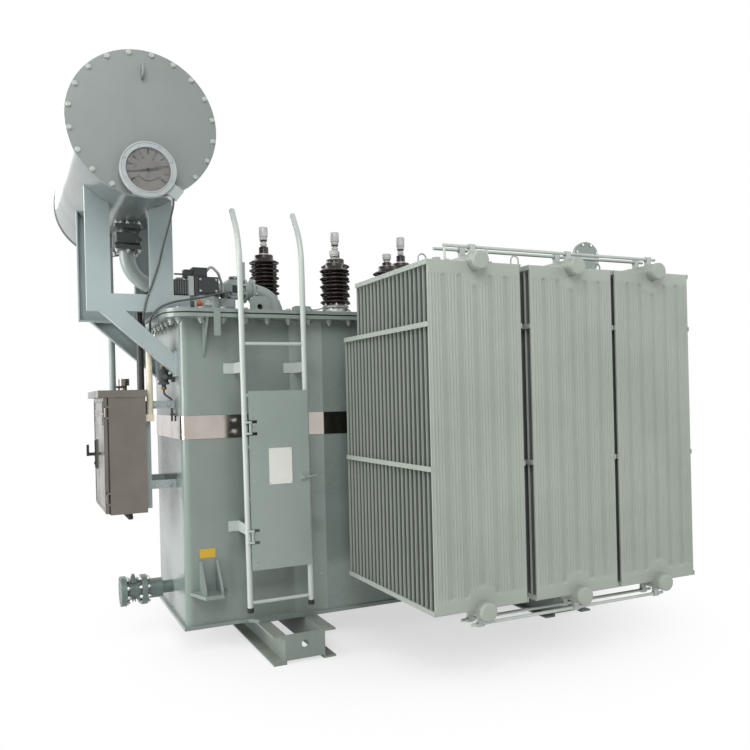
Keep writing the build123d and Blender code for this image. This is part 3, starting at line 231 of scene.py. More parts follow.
def ripple(tree: bpy.types.NodeTree, place: bpy.types.NodeSocket, size_mm: float, depth_mm: float,
           stretch: Point = (1, 1, 1), over: bpy.types.NodeSocket | None = None) -> bpy.types.NodeSocket:
    """A bump made of noise.

    Args:
        tree: the tree to add to.
        place: the coordinates to use.
        size_mm: width of one ripple.
        depth_mm: height of one ripple.
        stretch: how many times longer a ripple is along each axis.
        over: normal of a coarser bump below this one.

    Returns:
        The bumped normal's socket.
    """
    height = blotches(tree, place, size_mm, 2.0, stretch, 0.0, 1.0)
    links = {"Height": height}
    if over is not None:
        links["Normal"] = over
    return add_node(tree, "ShaderNodeBump", {"Distance": depth_mm * MM, "Strength": 1.0}, links).outputs["Normal"]


@dataclass(frozen=True)
class SprayedEnamel(Finish):
    """Air-drying enamel sprayed over steel plate.

    It gives the eye one even colour with a slight orange peel, cloudy patches where the coats
    overlap, thin rain streaks down the walls and dust on what faces up.
    """

    colour: str = "A6AFA8"
    overlap: str = "98A29B"
    dust: str = "B9BBB2"
    roughness: float = 0.40
    peel_mm: float = 7.0  # real orange peel is about 2 mm, drawn coarser so that it shows
    peel_depth_mm: float = 0.10
    patch_mm: float = 380.0
    streaks: float = 0.18
    dustiness: float = 0.45
    buckle_mm: float = 0.0  # depth of the slow waves that welding leaves in a thin wall
    buckle_size_mm: float = 420.0

    def lay(self, tree: bpy.types.NodeTree, shader: bpy.types.Node, place: bpy.types.NodeSocket) -> None:
        """Enamel nodes: patches, streaks, dust and orange peel."""
        patches = blotches(tree, place, self.patch_mm)
        colour = blend_colours(tree, patches, linear(self.colour), linear(self.overlap), 0.8)
        runs = blotches(tree, place, 28.0, 4.0, (1, 1, 26), 0.50, 0.74)
        colour = blend_colours(tree, runs, colour, linear(self.overlap), self.streaks)
        grit = blotches(tree, place, 5.0, 2.0, (1, 1, 1), 0.62, 0.70)
        colour = blend_colours(tree, grit, colour, linear(self.dust), 0.10)
        up = add_node(tree, "ShaderNodeSeparateXYZ", None,
                      {"Vector": add_node(tree, "ShaderNodeNewGeometry").outputs["Normal"]})
        flat = add_node(tree, "ShaderNodeMapRange", {"From Min": 0.55, "From Max": 0.98},
                        {"Value": up.outputs["Z"]})
        settled = add_node(tree, "ShaderNodeMath", {"operation": "MULTIPLY"},
                           {0: flat.outputs["Result"], 1: blotches(tree, place, 90.0, 5.0, (1, 1, 1), 0.2, 0.7)})
        colour = blend_colours(tree, settled.outputs[0], colour, linear(self.dust), self.dustiness)
        normal = None
        if self.buckle_mm:
            normal = ripple(tree, place, self.buckle_size_mm, self.buckle_mm, (1, 1, 1.6))
        normal = ripple(tree, place, self.peel_mm, self.peel_depth_mm, over=normal)
        rough = spread(tree, patches, self.roughness - 0.05, self.roughness + 0.07)
        shader.inputs["Specular IOR Level"].default_value = 0.5
        tree.links.new(colour, shader.inputs["Base Color"])
        tree.links.new(rough, shader.inputs["Roughness"])
        tree.links.new(normal, shader.inputs["Normal"])


@dataclass(frozen=True)
class RolledStainless(Finish):
    """Stainless sheet with the fine lines of the mill or of a brush.

    It gives the eye soft stretched reflections along the lines and a faint warm tint.
    """

    colour: str = "C9C3BA"
    tint: str = "B3ABA0"
    roughness: float = 0.26
    grain: tuple[float, float, float] = (1.0, 40.0, 1.0)  # how far a line runs along each axis
    grain_mm: float = 1.6  # a brush line is about 0.1 mm, drawn coarser so that it shows
    grain_depth_mm: float = 0.02
    buckle_mm: float = 0.0
    buckle_size_mm: float = 120.0

    def lay(self, tree: bpy.types.NodeTree, shader: bpy.types.Node, place: bpy.types.NodeSocket) -> None:
        """Stainless nodes: brush lines, clouding and slow waves of the sheet."""
        lines = blotches(tree, place, self.grain_mm, 3.0, self.grain, 0.3, 0.7)
        clouds = blotches(tree, place, 160.0, 4.0)
        colour = blend_colours(tree, lines, linear(self.colour), linear(self.tint), 0.35)
        colour = blend_colours(tree, clouds, colour, linear(self.tint), 0.6)
        normal = None
        if self.buckle_mm:
            normal = ripple(tree, place, self.buckle_size_mm, self.buckle_mm)
        normal = ripple(tree, place, self.grain_mm, self.grain_depth_mm, self.grain, normal)
        shader.inputs["Metallic"].default_value = 1.0
        tree.links.new(colour, shader.inputs["Base Color"])
        tree.links.new(spread(tree, clouds, self.roughness - 0.05, self.roughness + 0.08),
                       shader.inputs["Roughness"])
        tree.links.new(normal, shader.inputs["Normal"])


@dataclass(frozen=True)
class BareMetal(Finish):
    """Zinc plated or cast metal without paint.

    It gives the eye a dull sparkle with small dark marks where it was handled.
    """

    colour: str = "B9BBB6"
    marks: str = "85857F"
    roughness: float = 0.38
    grain_mm: float = 4.0
    depth_mm: float = 0.04

    def lay(self, tree: bpy.types.NodeTree, shader: bpy.types.Node, place: bpy.types.NodeSocket) -> None:
        """Bare metal nodes: marks and a grainy skin."""
        marks = blotches(tree, place, self.grain_mm * 4, 5.0)
        colour = blend_colours(tree, marks, linear(self.colour), linear(self.marks), 0.55)
        shader.inputs["Metallic"].default_value = 1.0
        tree.links.new(colour, shader.inputs["Base Color"])
        tree.links.new(spread(tree, marks, self.roughness - 0.06, self.roughness + 0.14),
                       shader.inputs["Roughness"])
        tree.links.new(ripple(tree, place, self.grain_mm, self.depth_mm), shader.inputs["Normal"])


@dataclass(frozen=True)
class GlazedPorcelain(Finish):
    """Brown glazed porcelain.

    It gives the eye a nearly black body with a soft glint on each rim, and a browner tone where the
    glaze runs thin.
    """

    colour: str = "1B1514"
    thin: str = "2E211E"
    coat: float = 0.12

    def lay(self, tree: bpy.types.NodeTree, shader: bpy.types.Node, place: bpy.types.NodeSocket) -> None:
        """Porcelain nodes: thin glaze patches under a clear coat."""
        thin = blotches(tree, place, 30.0, 4.0, (1, 1, 0.5))
        shader.inputs["IOR"].default_value = 1.45
        shader.inputs["Specular IOR Level"].default_value = 0.4
        shader.inputs["Coat Weight"].default_value = self.coat
        shader.inputs["Coat Roughness"].default_value = 0.12
        tree.links.new(blend_colours(tree, thin, linear(self.colour), linear(self.thin), 0.8),
                       shader.inputs["Base Color"])
        tree.links.new(spread(tree, thin, 0.26, 0.40), shader.inputs["Roughness"])
        tree.links.new(ripple(tree, place, 14.0, 0.08), shader.inputs["Normal"])


@dataclass(frozen=True)
class MouldedPolymer(Finish):
    """Moulded rubber or plastic.

    It gives the eye a soft even sheen with a fine moulded grain and paler scuffs.
    """

    colour: str = "141414"
    scuff: str = "3A3A38"
    roughness: float = 0.5
    grain_mm: float = 3.0
    depth_mm: float = 0.05

    def lay(self, tree: bpy.types.NodeTree, shader: bpy.types.Node, place: bpy.types.NodeSocket) -> None:
        """Polymer nodes: scuffs and moulded grain."""
        scuffs = blotches(tree, place, 36.0, 6.0, (1, 1, 1), 0.48, 0.75)
        tree.links.new(blend_colours(tree, scuffs, linear(self.colour), linear(self.scuff), 0.6),
                       shader.inputs["Base Color"])
        tree.links.new(spread(tree, scuffs, self.roughness - 0.06, self.roughness + 0.15),
                       shader.inputs["Roughness"])
        tree.links.new(ripple(tree, place, self.grain_mm, self.depth_mm), shader.inputs["Normal"])


@dataclass(frozen=True)
class WindowGlass(Finish):
    """Flat clear glass over a dial.

    It gives the eye a thin bright glint and lets the dial through.
    """

    tint: str = "F4F8F6"
    film: float = 0.03

    def lay(self, tree: bpy.types.NodeTree, shader: bpy.types.Node, place: bpy.types.NodeSocket) -> None:
        """Glass nodes: a clear pane with a thin film of dust."""
        film = blotches(tree, place, 40.0, 5.0)
        shader.inputs["Base Color"].default_value = linear(self.tint)
        shader.inputs["IOR"].default_value = 1.5
        tree.links.new(spread(tree, film, 0.5 * self.film, 1.5 * self.film), shader.inputs["Alpha"])
        tree.links.new(spread(tree, film, 0.04, 0.12), shader.inputs["Roughness"])


class Look(Enum):
    """Every finish on the transformer."""

    RADIATOR = SprayedEnamel("radiator_enamel", "9BA299", "929A91", "ABAEA5", 0.40)
    # painted shade: a slightly darker enamel on the outer panel's valley floors, standing in for the shade in the
    # pressed grooves
    GROOVE = SprayedEnamel("radiator_groove_enamel", "949B92", "8B938A", "A5A99F", 0.42)
    # painted shade: a much darker enamel on the inner panels between the rims, standing in for the shade in the
    # narrow gaps between panels
    SHADED = SprayedEnamel("inner_fin_painted_shade_enamel", "5F6660", "555C56", "757A74", 0.55)
    TANK = SprayedEnamel("tank_enamel", "7F8A85", "76817C", "9A9E97", 0.22, buckle_mm=3.0)
    CONSERVATOR = SprayedEnamel("conservator_enamel", "6D7675", "656E6D", "8C908B", 0.16)
    CAP = SprayedEnamel("cap_enamel", "7B827F", "747B78", "94978F", 0.36)
    FRAME = SprayedEnamel("frame_enamel", "9CA8A8", "929E9F", "AEB2AD", 0.38)
    PIPE = SprayedEnamel("pipe_enamel", "97A29F", "8B9693", "ABAFA9", 0.28)
    DARK_PIPE = SprayedEnamel("vent_enamel", "7F8B85", "74807B", "969B94", 0.34)
    FITTING = SprayedEnamel("dark_fitting_enamel", "4A5150", "3F4645", "777B78", 0.40)
    SKID = SprayedEnamel("skid_enamel", "7F8982", "737D77", "98968A", 0.50, streaks=0.3, dustiness=0.7)
    LADDER = SprayedEnamel("ladder_enamel", "B4BBB6", "AAB2AD", "BEC1BA", 0.34)
    GUARD = SprayedEnamel("guard_enamel", "8F9A95", "87928D", "A2A69F", 0.40)
    VALVE = SprayedEnamel("valve_enamel", "606D6B", "54625F", "7E847F", 0.45)
    DRIVE = SprayedEnamel("drive_enamel", "2B3032", "23282A", "5E6262", 0.42, dustiness=0.25)
    FIN = SprayedEnamel("black_fin_enamel", "181B1C", "121415", "4A4D4D", 0.45, dustiness=0.2)
    NUT = SprayedEnamel("painted_nut_enamel", "A7AEA8", "989F99", "B4B8B0", 0.32, 3.0, 0.03, 40.0, 0.1)
    MOTOR = SprayedEnamel("motor_enamel", "8E9796", "7C8685", "A5A9A4", 0.45)
    SIGN = SprayedEnamel("blank_sign_enamel", "D9DAD4", "CFD0CA", "DDDDD6", 0.32, streaks=0.05)
    TAG = SprayedEnamel("yellow_tag_enamel", "C9A227", "BD951F", "C9B368", 0.40, streaks=0.05)
    BAND = RolledStainless("polished_stainless_band", "BDB6AF", "ABA199", 0.12, (30, 30, 1), 2.0, 0.01, 2.2, 130.0)
    CABINET = RolledStainless("brushed_stainless_sheet", "7D7871", "6E6961", 0.24, (1, 1, 60), 1.6, 0.02)
    BRACKET = RolledStainless("mill_stainless_bar", "A4A6A2", "8F928E", 0.42, (40, 1, 1), 2.0, 0.02)
    BOLT = BareMetal("zinc_plated_steel", "C4C6C1", "8F908A", 0.36)
    CAST = BareMetal("cast_aluminium", "BDBFBC", "9A9C98", 0.46, 5.0, 0.10)
    TERMINAL = SprayedEnamel("tinned_terminal", "BFC1BE", "AEB0AD", "C6C7C2", 0.42, 3.0, 0.03, 60.0, 0.05)
    BEZEL = SprayedEnamel("gauge_casting_enamel", "A2A9A9", "979F9F", "B2B6B3", 0.34, patch_mm=160.0)
    COPPER = BareMetal("brass_fitting", "B08A4A", "8C6A36", 0.35, 3.0, 0.02)
    PORCELAIN = GlazedPorcelain("glazed_porcelain")
    RUBBER = MouldedPolymer("moulded_rubber", "161616", "2E2E2C", 0.62)
    CABLE = MouldedPolymer("grey_cable_sheath", "4A4F4E", "5E6361", 0.46, 5.0, 0.06)
    HOSE = MouldedPolymer("black_hose_sheath", "1B1D1D", "474A48", 0.42, 5.0, 0.06)
    FLEX = MouldedPolymer("light_grey_hose", "A9AFAD", "969C9A", 0.42, 4.0, 0.05)
    CONDUIT = MouldedPolymer("cream_pvc_conduit", "CFC8B2", "B8B09A", 0.45)
    DIAL = MouldedPolymer("printed_dial", "5A5753", "524F4B", 0.55, 3.0, 0.01)
    INK = MouldedPolymer("black_printing_ink", "151515", "202020", 0.5, 3.0, 0.01)
    BREATHER = MouldedPolymer("clear_polycarbonate", "8FA0A6", "7C8C92", 0.25, 6.0, 0.05)
    ORANGE = MouldedPolymer("orange_tap_grip", "C4532B", "A84623", 0.45)
    PANE = MouldedPolymer("smoked_acrylic", "23272A", "2E3336", 0.18, 40.0, 0.02)
    GLASS = WindowGlass("dial_glass")

    def material(self) -> bpy.types.Material:
        """The finish's Blender material."""
        return self.value.material()


def basis(direction: Point) -> tuple[Vector, Vector, Vector]:
    """Three unit axes, the last along a direction.

    Args:
        direction: any vector that isn't zero.

    Returns:
        Two directions across it, and its own direction.
    """
    along = Vector(direction).normalized()
    helper = Vector((0, 0, 1)) if abs(along.z) < 0.9 else Vector((1, 0, 0))
    across = helper.cross(along).normalized()
    return across, along.cross(across), along


def rounded_path(points: Sequence[Point], radius: float, steps: int = 8) -> list[Vector]:
    """Round the corners of a run of points.

    Args:
        points: the corners, first and last included.
        radius: radius of each corner, made smaller where a run is short.
        steps: pieces per corner.

    Returns:
        Points along the rounded line.
    """
    corners = [Vector(p) for p in points]
    path = [corners[0]]
    for before, here, after in zip(corners, corners[1:], corners[2:]):
        back, ahead = (before - here), (after - here)
        half = back.angle(ahead) / 2
        reach = min(radius / math.tan(half), 0.49 * back.length, 0.49 * ahead.length)
        start, end = here + back.normalized() * reach, here + ahead.normalized() * reach
        for step in range(steps + 1):
            share = step / steps
            path.append(start.lerp(here, share).lerp(here.lerp(end, share), share))
    path.append(corners[-1])
    return path


class Sketch:
    """A mesh in the making, in millimetres."""

    def __init__(self) -> None:
        """Start with nothing."""
        self.mesh = bmesh.new()

    def rings(self, rings: Sequence[Sequence[Point]], looped: bool = False) -> list[bmesh.types.BMVert]:
        """Skin a row of closed rings that have equal numbers of points.

        Args:
            rings: the rings, in order.
            looped: whether the last ring joins the first. If not, both ends are capped.

        Returns:
            The new vertices.
        """
        rows = [[self.mesh.verts.new(p) for p in ring] for ring in rings]
        pairs = list(zip(rows, rows[1:])) + ([(rows[-1], rows[0])] if looped else [])
        for one, two in pairs:
            count = len(one)
            for i in range(count):
                j = (i + 1) % count
                self.mesh.faces.new((one[i], one[j], two[j], two[i]))
        if not looped:
            self.mesh.faces.new(list(reversed(rows[0])))
            self.mesh.faces.new(rows[-1])
        return [v for row in rows for v in row]

    def lathe(self, profile: Sequence[tuple[float, float]], start: Point, direction: Point = (0, 0, 1),
              segments: int = 32, hollow: bool = False) -> None:
        """Turn a profile round an axis.

        Args:
            profile: (radius, distance along the axis) points; every radius is above zero.
            start: where distance 0 lies.
            direction: which way the axis runs.
            segments: sides of the turned shape.
            hollow: join the profile's end to its start, which gives a ring with a hole.
        """
        across, other, along = basis(direction)
        origin = Vector(start)
        turns = [2 * math.pi * i / segments for i in range(segments)]
        self.rings([[origin + along * h + (across * math.cos(t) + other * math.sin(t)) * r for t in turns]
                    for r, h in profile], hollow)

    def rod(self, start: Point, end: Point, radius: float, soften: float = 1.0, segments: int = 20) -> None:
        """A round bar with softened ends between two points."""
        run = Vector(end) - Vector(start)
        soften = min(soften, radius * 0.5, run.length * 0.3)
        self.lathe([(radius - soften, 0), (radius, soften), (radius, run.length - soften),
                    (radius - soften, run.length)], start, run, segments)

    def tube(self, path: Sequence[Point], radius: float, segments: int = 12) -> None:
        """A round bar along a path.

        Args:
            path: points to pass through, close together in bends.
            radius: the bar's radius.
            segments: sides of the bar.
        """
        line = [Vector(p) for p in path]
        line = [p for i, p in enumerate(line) if i == 0 or (p - line[i - 1]).length > 1e-4]
        ways = [(b - a).normalized() for a, b in zip(line, line[1:])]
        tangents = [ways[0]] + [(a + b).normalized() for a, b in zip(ways, ways[1:])] + [ways[-1]]
        across = basis(tangents[0])[0]
        rows = []
        for i, (point, tangent) in enumerate(zip(line, tangents)):
            if i:
                turn = tangents[i - 1].rotation_difference(tangent)
                across = (turn @ across).normalized()
            other = tangent.cross(across)
            rows.append([point + (across * math.cos(t) + other * math.sin(t)) * radius
                         for t in (2 * math.pi * k / segments for k in range(segments))])
        self.rings(rows)

    def soften_edges(self, verts: Iterable[bmesh.types.BMVert], width: float, steps: int = 2) -> None:
        """Bevel the sharp edges among some vertices."""
        chosen = set(verts)
        edges = [e for e in self.mesh.edges if e.verts[0] in chosen and e.verts[1] in chosen
                 and (len(e.link_faces) != 2 or e.calc_face_angle(0) > 0.5)]
        bmesh.ops.bevel(self.mesh, geom=edges, offset=width, segments=steps, affect="EDGES", profile=0.5,
                        clamp_overlap=True)

    def block(self, x: Point, y: Point, z: Point, soften: float = 1.5) -> None:
        """A box with softened edges from three (low, high) pairs."""
        (x0, x1), (y0, y1), (z0, z1) = sorted(x), sorted(y), sorted(z)
        verts = self.rings([[(x0, y0, h), (x1, y0, h), (x1, y1, h), (x0, y1, h)] for h in (z0, z1)])
        if soften:
            self.soften_edges(verts, min(soften, 0.3 * min(x1 - x0, y1 - y0, z1 - z0)))

    def plate(self, outline: Sequence[Point], push: Point, soften: float = 0.8) -> None:
        """A flat plate with softened edges.

        Args:
            outline: the corners of one face, in order.
            push: from that face to the other one.
            soften: width of the softened edges.
        """
        far = Vector(push)
        verts = self.rings([[Vector(p) for p in outline], [Vector(p) + far for p in outline]])
        if soften:
            self.soften_edges(verts, soften)

    def hexagon(self, centre: Point, direction: Point, flats: float, height: float, phase: float = 0.0) -> None:
        """A bolt head or nut with a chamfered top.

        Args:
            centre: middle of its seat.
            direction: away from the seat.
            flats: size across the flats.
            height: its height.
            phase: turn about its axis, in radians.
        """
        across, other, along = basis(direction)
        origin, corner = Vector(centre), flats / math.sqrt(3)
        rows = []
        for size, level in ((corner, 0.0), (corner, 0.82 * height), (0.86 * corner, height)):
            rows.append([origin + along * level + (across * math.cos(t) + other * math.sin(t)) * size
                         for t in (phase + math.pi * k / 3 for k in range(6))])
        self.rings(rows)

    def bolt(self, seat: Point, direction: Point, size: float, stud: float = 0.0, phase: float = 0.0) -> None:
        """A washer with a head or nut on it.

        Args:
            seat: point on the surface.
            direction: away from the surface.
            size: thread diameter.
            stud: how far the thread stands out of a nut, or 0 for a bolt head.
            phase: turn of the hexagon, in radians.
        """
        _, _, along = basis(direction)
        washer = 0.16 * size
        self.lathe([(0.97 * size, 0), (1.02 * size, 0.3 * washer), (1.0 * size, washer)], seat, direction, 16)
        foot = Vector(seat) + along * washer
        height = (0.8 if stud else 0.64) * size
        self.hexagon(foot, direction, 1.5 * size, height, phase)
        if stud:
            top = foot + along * height
            self.lathe([(0.46 * size, -0.1), (0.46 * size, stud - 1), (0.36 * size, stud)], top, direction, 10)

    def mirrored(self, both: bool) -> None:
        """Flip the mesh to the far side of the tank.

        Args:
            both: keep the near side too.
        """
        if both:
            copy = bmesh.ops.duplicate(self.mesh, geom=self.mesh.verts[:] + self.mesh.edges[:] + self.mesh.faces[:])
            moved = [g for g in copy["geom"] if isinstance(g, bmesh.types.BMVert)]
        else:
            moved = list(self.mesh.verts)
        for vert in moved:
            vert.co.y = -vert.co.y

    def piece(self, name: str, look: Look, slot: Slot, body: str = MAIN_BODY, replaces: Sequence[str] = (),
              sharp: float = 32.0,
              others: Sequence[tuple[Look, Callable[[Vector], bool]]] = ()) -> bpy.types.Object:
        """Turn the sketch into a finished piece.

        Args:
            name: the piece's name.
            look: its finish.
            slot: the record's material slot that it belongs to; not used.
            body: the CAD body that it moves with.
            replaces: CAD nodes that it stands for.
            sharp: angle above which an edge stays sharp, in degrees.
            others: further finishes, each with a test of a face's middle in millimetres.

        Returns:
            The piece.
        """
        bmesh.ops.recalc_face_normals(self.mesh, faces=self.mesh.faces)
        bmesh.ops.scale(self.mesh, vec=(MM, MM, MM), verts=self.mesh.verts)
        data = bpy.data.meshes.new(name)
        self.mesh.to_mesh(data)
        self.mesh.free()
        data.polygons.foreach_set("use_smooth", [True] * len(data.polygons))
        data.set_sharp_from_angle(angle=math.radians(sharp))
        data.materials.append(look.material())
        for index, (other, fits) in enumerate(others, start=1):
            data.materials.append(other.material())
            for polygon in data.polygons:
                if fits(polygon.center / MM):
                    polygon.material_index = index
        made = bpy.data.objects.new(name, data)
        bpy.context.scene.collection.objects.link(made)
        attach(made, body)
        if replaces:
            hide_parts(*replaces)
        LOG.info("piece %s: %d faces", name, len(data.polygons))
        return made


def dress(look: Look, *nodes: str) -> None:
    """Give CAD nodes a finish.

    Args:
        look: the finish.
        nodes: names of CAD nodes.
    """
    for name in nodes:
        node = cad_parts[name]
        if not node.material_slots:
            node.data.materials.append(look.material())
        for place in node.material_slots:
            place.material = look.material()


@dataclass
class PanelRadiator:
    """One radiator: pressed steel panels welded to a top and a bottom header."""

    number: int
    left: float
    side: Side
    loops: tuple[tuple[float, float], ...] = ()
    width: float = 520.0
    front: float = -1688.0
    bottom: float = 417.0
    top: float = 2084.0
    short_top: float = 1795.0
    pitch: float = 45.0
    depth: float = 12.0
    tall_panels: int = 19
    short_panels: int = 4
    header_radius: float = 44.5
    cap_reach: float = 60.0
    flute_pitch: float = 87.0
    valley_half: float = 10.0
    flank: float = 9.0
    press: float = 8.0
    ridges: int = 5
    ridge_share: float = 0.6
    seam: float = 14.0
    plain_band: float = 60.0
    collar_radius: float = 108.0

    @property
    def centre(self) -> float:
        """X of the headers."""
        return self.left + self.width / 2

    def valleys(self) -> list[float]:
        """X of each welded valley between two channels."""
        return [self.centre + k * self.flute_pitch for k in (-2, -1, 0, 1, 2)]

    def lift(self, x: float, z: float) -> float:
        """How far the pressed sheet stands out, from 0 in a valley to 1 on a crest."""
        deep, reach = 0.0, self.valley_half + self.flank
        for valley in self.valleys():
            clear = self.collar_radius if abs(valley - self.centre) < 1 else self.plain_band
            low, high = self.bottom + clear + reach, self.top - clear - reach
            away = math.hypot(x - valley, z - min(max(z, low), high))
            share = min(max((reach - away) / self.flank, 0.0), 1.0)
            deep = max(deep, share * share * (3 - 2 * share))
        end = min(z - self.bottom, self.top - z)
        clear = min(end - self.plain_band, math.hypot(x - self.centre, end) - self.collar_radius)
        shown = min(max(clear / 12.0, 0.0), 1.0)
        turn = 2 * math.pi * self.ridges * (x - self.centre - self.flute_pitch / 2) / self.flute_pitch
        return (1 - deep) * (1 - self.ridge_share * shown * (0.5 + 0.5 * math.cos(turn)))

    def in_valley(self, spot: Vector) -> bool:
        """Whether a point of the outer sheet lies on a valley's floor."""
        return self.lift(spot.x, spot.z) < 0.3

    def rows(self, low: float, high: float, dense: float, step: float, coarse: int) -> list[float]:
        """Levels between two values, close together near both ends."""
        near = [low, low + 1.5, low + 4.0]
        count = int(dense / step)
        near += [low + 8.0 + step * k for k in range(count)]
        far = [high - (v - low) for v in reversed(near)]
        start, end = near[-1], far[0]
        return near + [start + (end - start) * k / coarse for k in range(1, coarse)] + far

    def outer_panel(self, sketch: Sketch) -> None:
        """The outermost panel, with its flutes, rim and plain bands pressed into a grid."""
        step = self.flute_pitch / self.ridges / 6
        count = int((self.width / 2 - 9) / step)
        columns = [self.centre + k * step for k in range(-count, count + 1)]
        columns = [self.left, self.left + 1.5, self.left + 5] + columns
        columns += [self.left + self.width - 5, self.left + self.width - 1.5, self.left + self.width]
        levels = self.rows(self.bottom, self.top, 160.0, 7.5, 10)
        valley, back = self.front + self.press, self.front + self.depth

        def face(x: float, z: float) -> float:
            rim = min(x - self.left, self.left + self.width - x, z - self.bottom, self.top - z)
            edge = 3.0 * (1 - min(rim / 5.0, 1.0)) ** 2
            return valley - self.press * self.lift(x, z) + edge

        grid = [[sketch.mesh.verts.new((x, face(x, z), z)) for x in columns] for z in levels]
        plain = [[sketch.mesh.verts.new((x, back, z)) for x in columns] for z in levels]
        for rows, flip in ((grid, False), (plain, True)):
            for low, high in zip(rows, rows[1:]):
                for i in range(len(columns) - 1):
                    quad = [low[i], low[i + 1], high[i + 1], high[i]]
                    sketch.mesh.faces.new(quad[::-1] if flip else quad)
        for one, two in ((grid[0], plain[0]), (grid[-1], plain[-1]),
                         ([r[0] for r in grid], [r[0] for r in plain]),
                         ([r[-1] for r in grid], [r[-1] for r in plain])):
            for i in range(len(one) - 1):
                sketch.mesh.faces.new((one[i], one[i + 1], two[i + 1], two[i]))

    def half_thickness(self, x: float) -> float:
        """Half the thickness of an inner panel at one place across it."""
        rim = min(x - self.left, self.left + self.width - x)
        if rim < self.seam - 4:
            return 1.6
        waves = 0.5 - 0.5 * math.cos(2 * math.pi * (x - self.centre) / self.flute_pitch)
        full = 2.4 + 3.6 * min(1.0, max(0.0, 1.5 * waves - 0.15))
        return 1.6 + (full - 1.6) * min(1.0, (rim - self.seam + 4) / 6.0)

    def inner_panel(self, sketch: Sketch, index: int) -> None:
        """One panel behind the first, as a pressed profile with pinched ends."""
        middle = self.front + index * self.pitch + self.depth / 2
        top = self.top if index < self.tall_panels else self.short_top
        columns = [self.left, self.left + self.seam - 4]
        columns += [self.left + self.seam + 7.2 * k for k in range(1, 69)]
        columns += [self.left + self.width - self.seam + 4, self.left + self.width]
        columns = sorted(v for v in set(columns) if v <= self.left + self.width)

        def ring(level: float, pinched: bool) -> list[Point]:
            sizes = [1.6 if pinched else self.half_thickness(x) for x in columns]
            near = [(x, middle - s, level) for x, s in zip(columns, sizes)]
            far = [(x, middle + s, level) for x, s in zip(columns, sizes)]
            return near + far[::-1]

        sketch.rings([ring(self.bottom, True), ring(self.bottom + 12, True), ring(self.bottom + 46, False),
                      ring(top - 46, False), ring(top - 12, True), ring(top, True)])

    def headers(self, sketch: Sketch) -> None:
        """Header pipes with welded caps, and the half collars pressed round them."""
        radius, out = self.header_radius, self.front - self.cap_reach
        last_tall = self.front + (self.tall_panels - 1) * self.pitch + self.depth
        last = last_tall + self.short_panels * self.pitch
        for level, end in ((self.top, last_tall), (self.bottom, last)):
            run = end - out
            sketch.lathe([(0.80 * radius, 0), (0.90 * radius, 0.6), (0.97 * radius, 3.0), (radius, 8.0),
                          (radius, 16.0), (radius + 1.4, 18.0), (radius, 20.5), (radius, run)],
                         (self.centre, out, level), (0, 1, 0), 48)
            sign = 1 if level == self.bottom else -1
            for ring_radius, size in ((radius + 3, 4.5), (72.0, 5.0)):
                arc = [(self.centre + ring_radius * math.cos(t), self.front + self.press - 1.0,
                        level + sign * ring_radius * math.sin(t))
                       for t in (math.radians(2 + 176 * k / 28) for k in range(29))]
                sketch.tube(arc, size, 10)

    def lifting_loops(self, sketch: Sketch) -> None:
        """Wire loops on the panels' top corners."""
        for offset, depth in self.loops:
            x, y, level = self.left + offset, self.front + depth, self.top + 16
            bow = [(x - 22 * math.cos(t), y, level + 24 * math.sin(t)) for t in (math.pi * k / 14 for k in range(15))]
            sketch.tube([(x - 22, y, self.top - 16)] + bow + [(x + 22, y, self.top - 16)], 3.8, 10)

    def inside(self, spot: Vector) -> bool:
        """Whether a point lies between the panels, away from their outer rims and the headers."""
        rim = min(spot.x - self.left, self.left + self.width - spot.x, spot.z - self.bottom, self.top - spot.z)
        return rim > self.seam and math.hypot(spot.x - self.centre, rim) > self.header_radius + 8

    def build(self) -> None:
        """Make the radiator in place of its CAD node."""
        sketch = Sketch()
        self.outer_panel(sketch)
        for index in range(1, self.tall_panels + self.short_panels):
            self.inner_panel(sketch, index)
        self.headers(sketch)
        behind = abs(self.front) - self.depth - 2
        self.lifting_loops(sketch)
        if self.side is Side.BACK:
            sketch.mirrored(both=False)
        node = f"radiator_{self.side.label}_{self.number}"
        outer = abs(self.front) + 0.5
        sketch.piece(f"{node}_panels", Look.RADIATOR, Slot.RADIATOR, replaces=[node], sharp=40, others=(
            # painted shade: inner panels away from the rims take the dark enamel for the shade between panels
            (Look.SHADED, lambda spot: abs(spot.y) < behind and self.inside(spot)),
            # painted shade: valley floors of the outer panel take the slightly darker enamel for the shade in the
            # grooves
            (Look.GROOVE, lambda spot: (behind + 2 < abs(spot.y) < outer and self.inside(spot)
                                        and self.in_valley(spot)))))


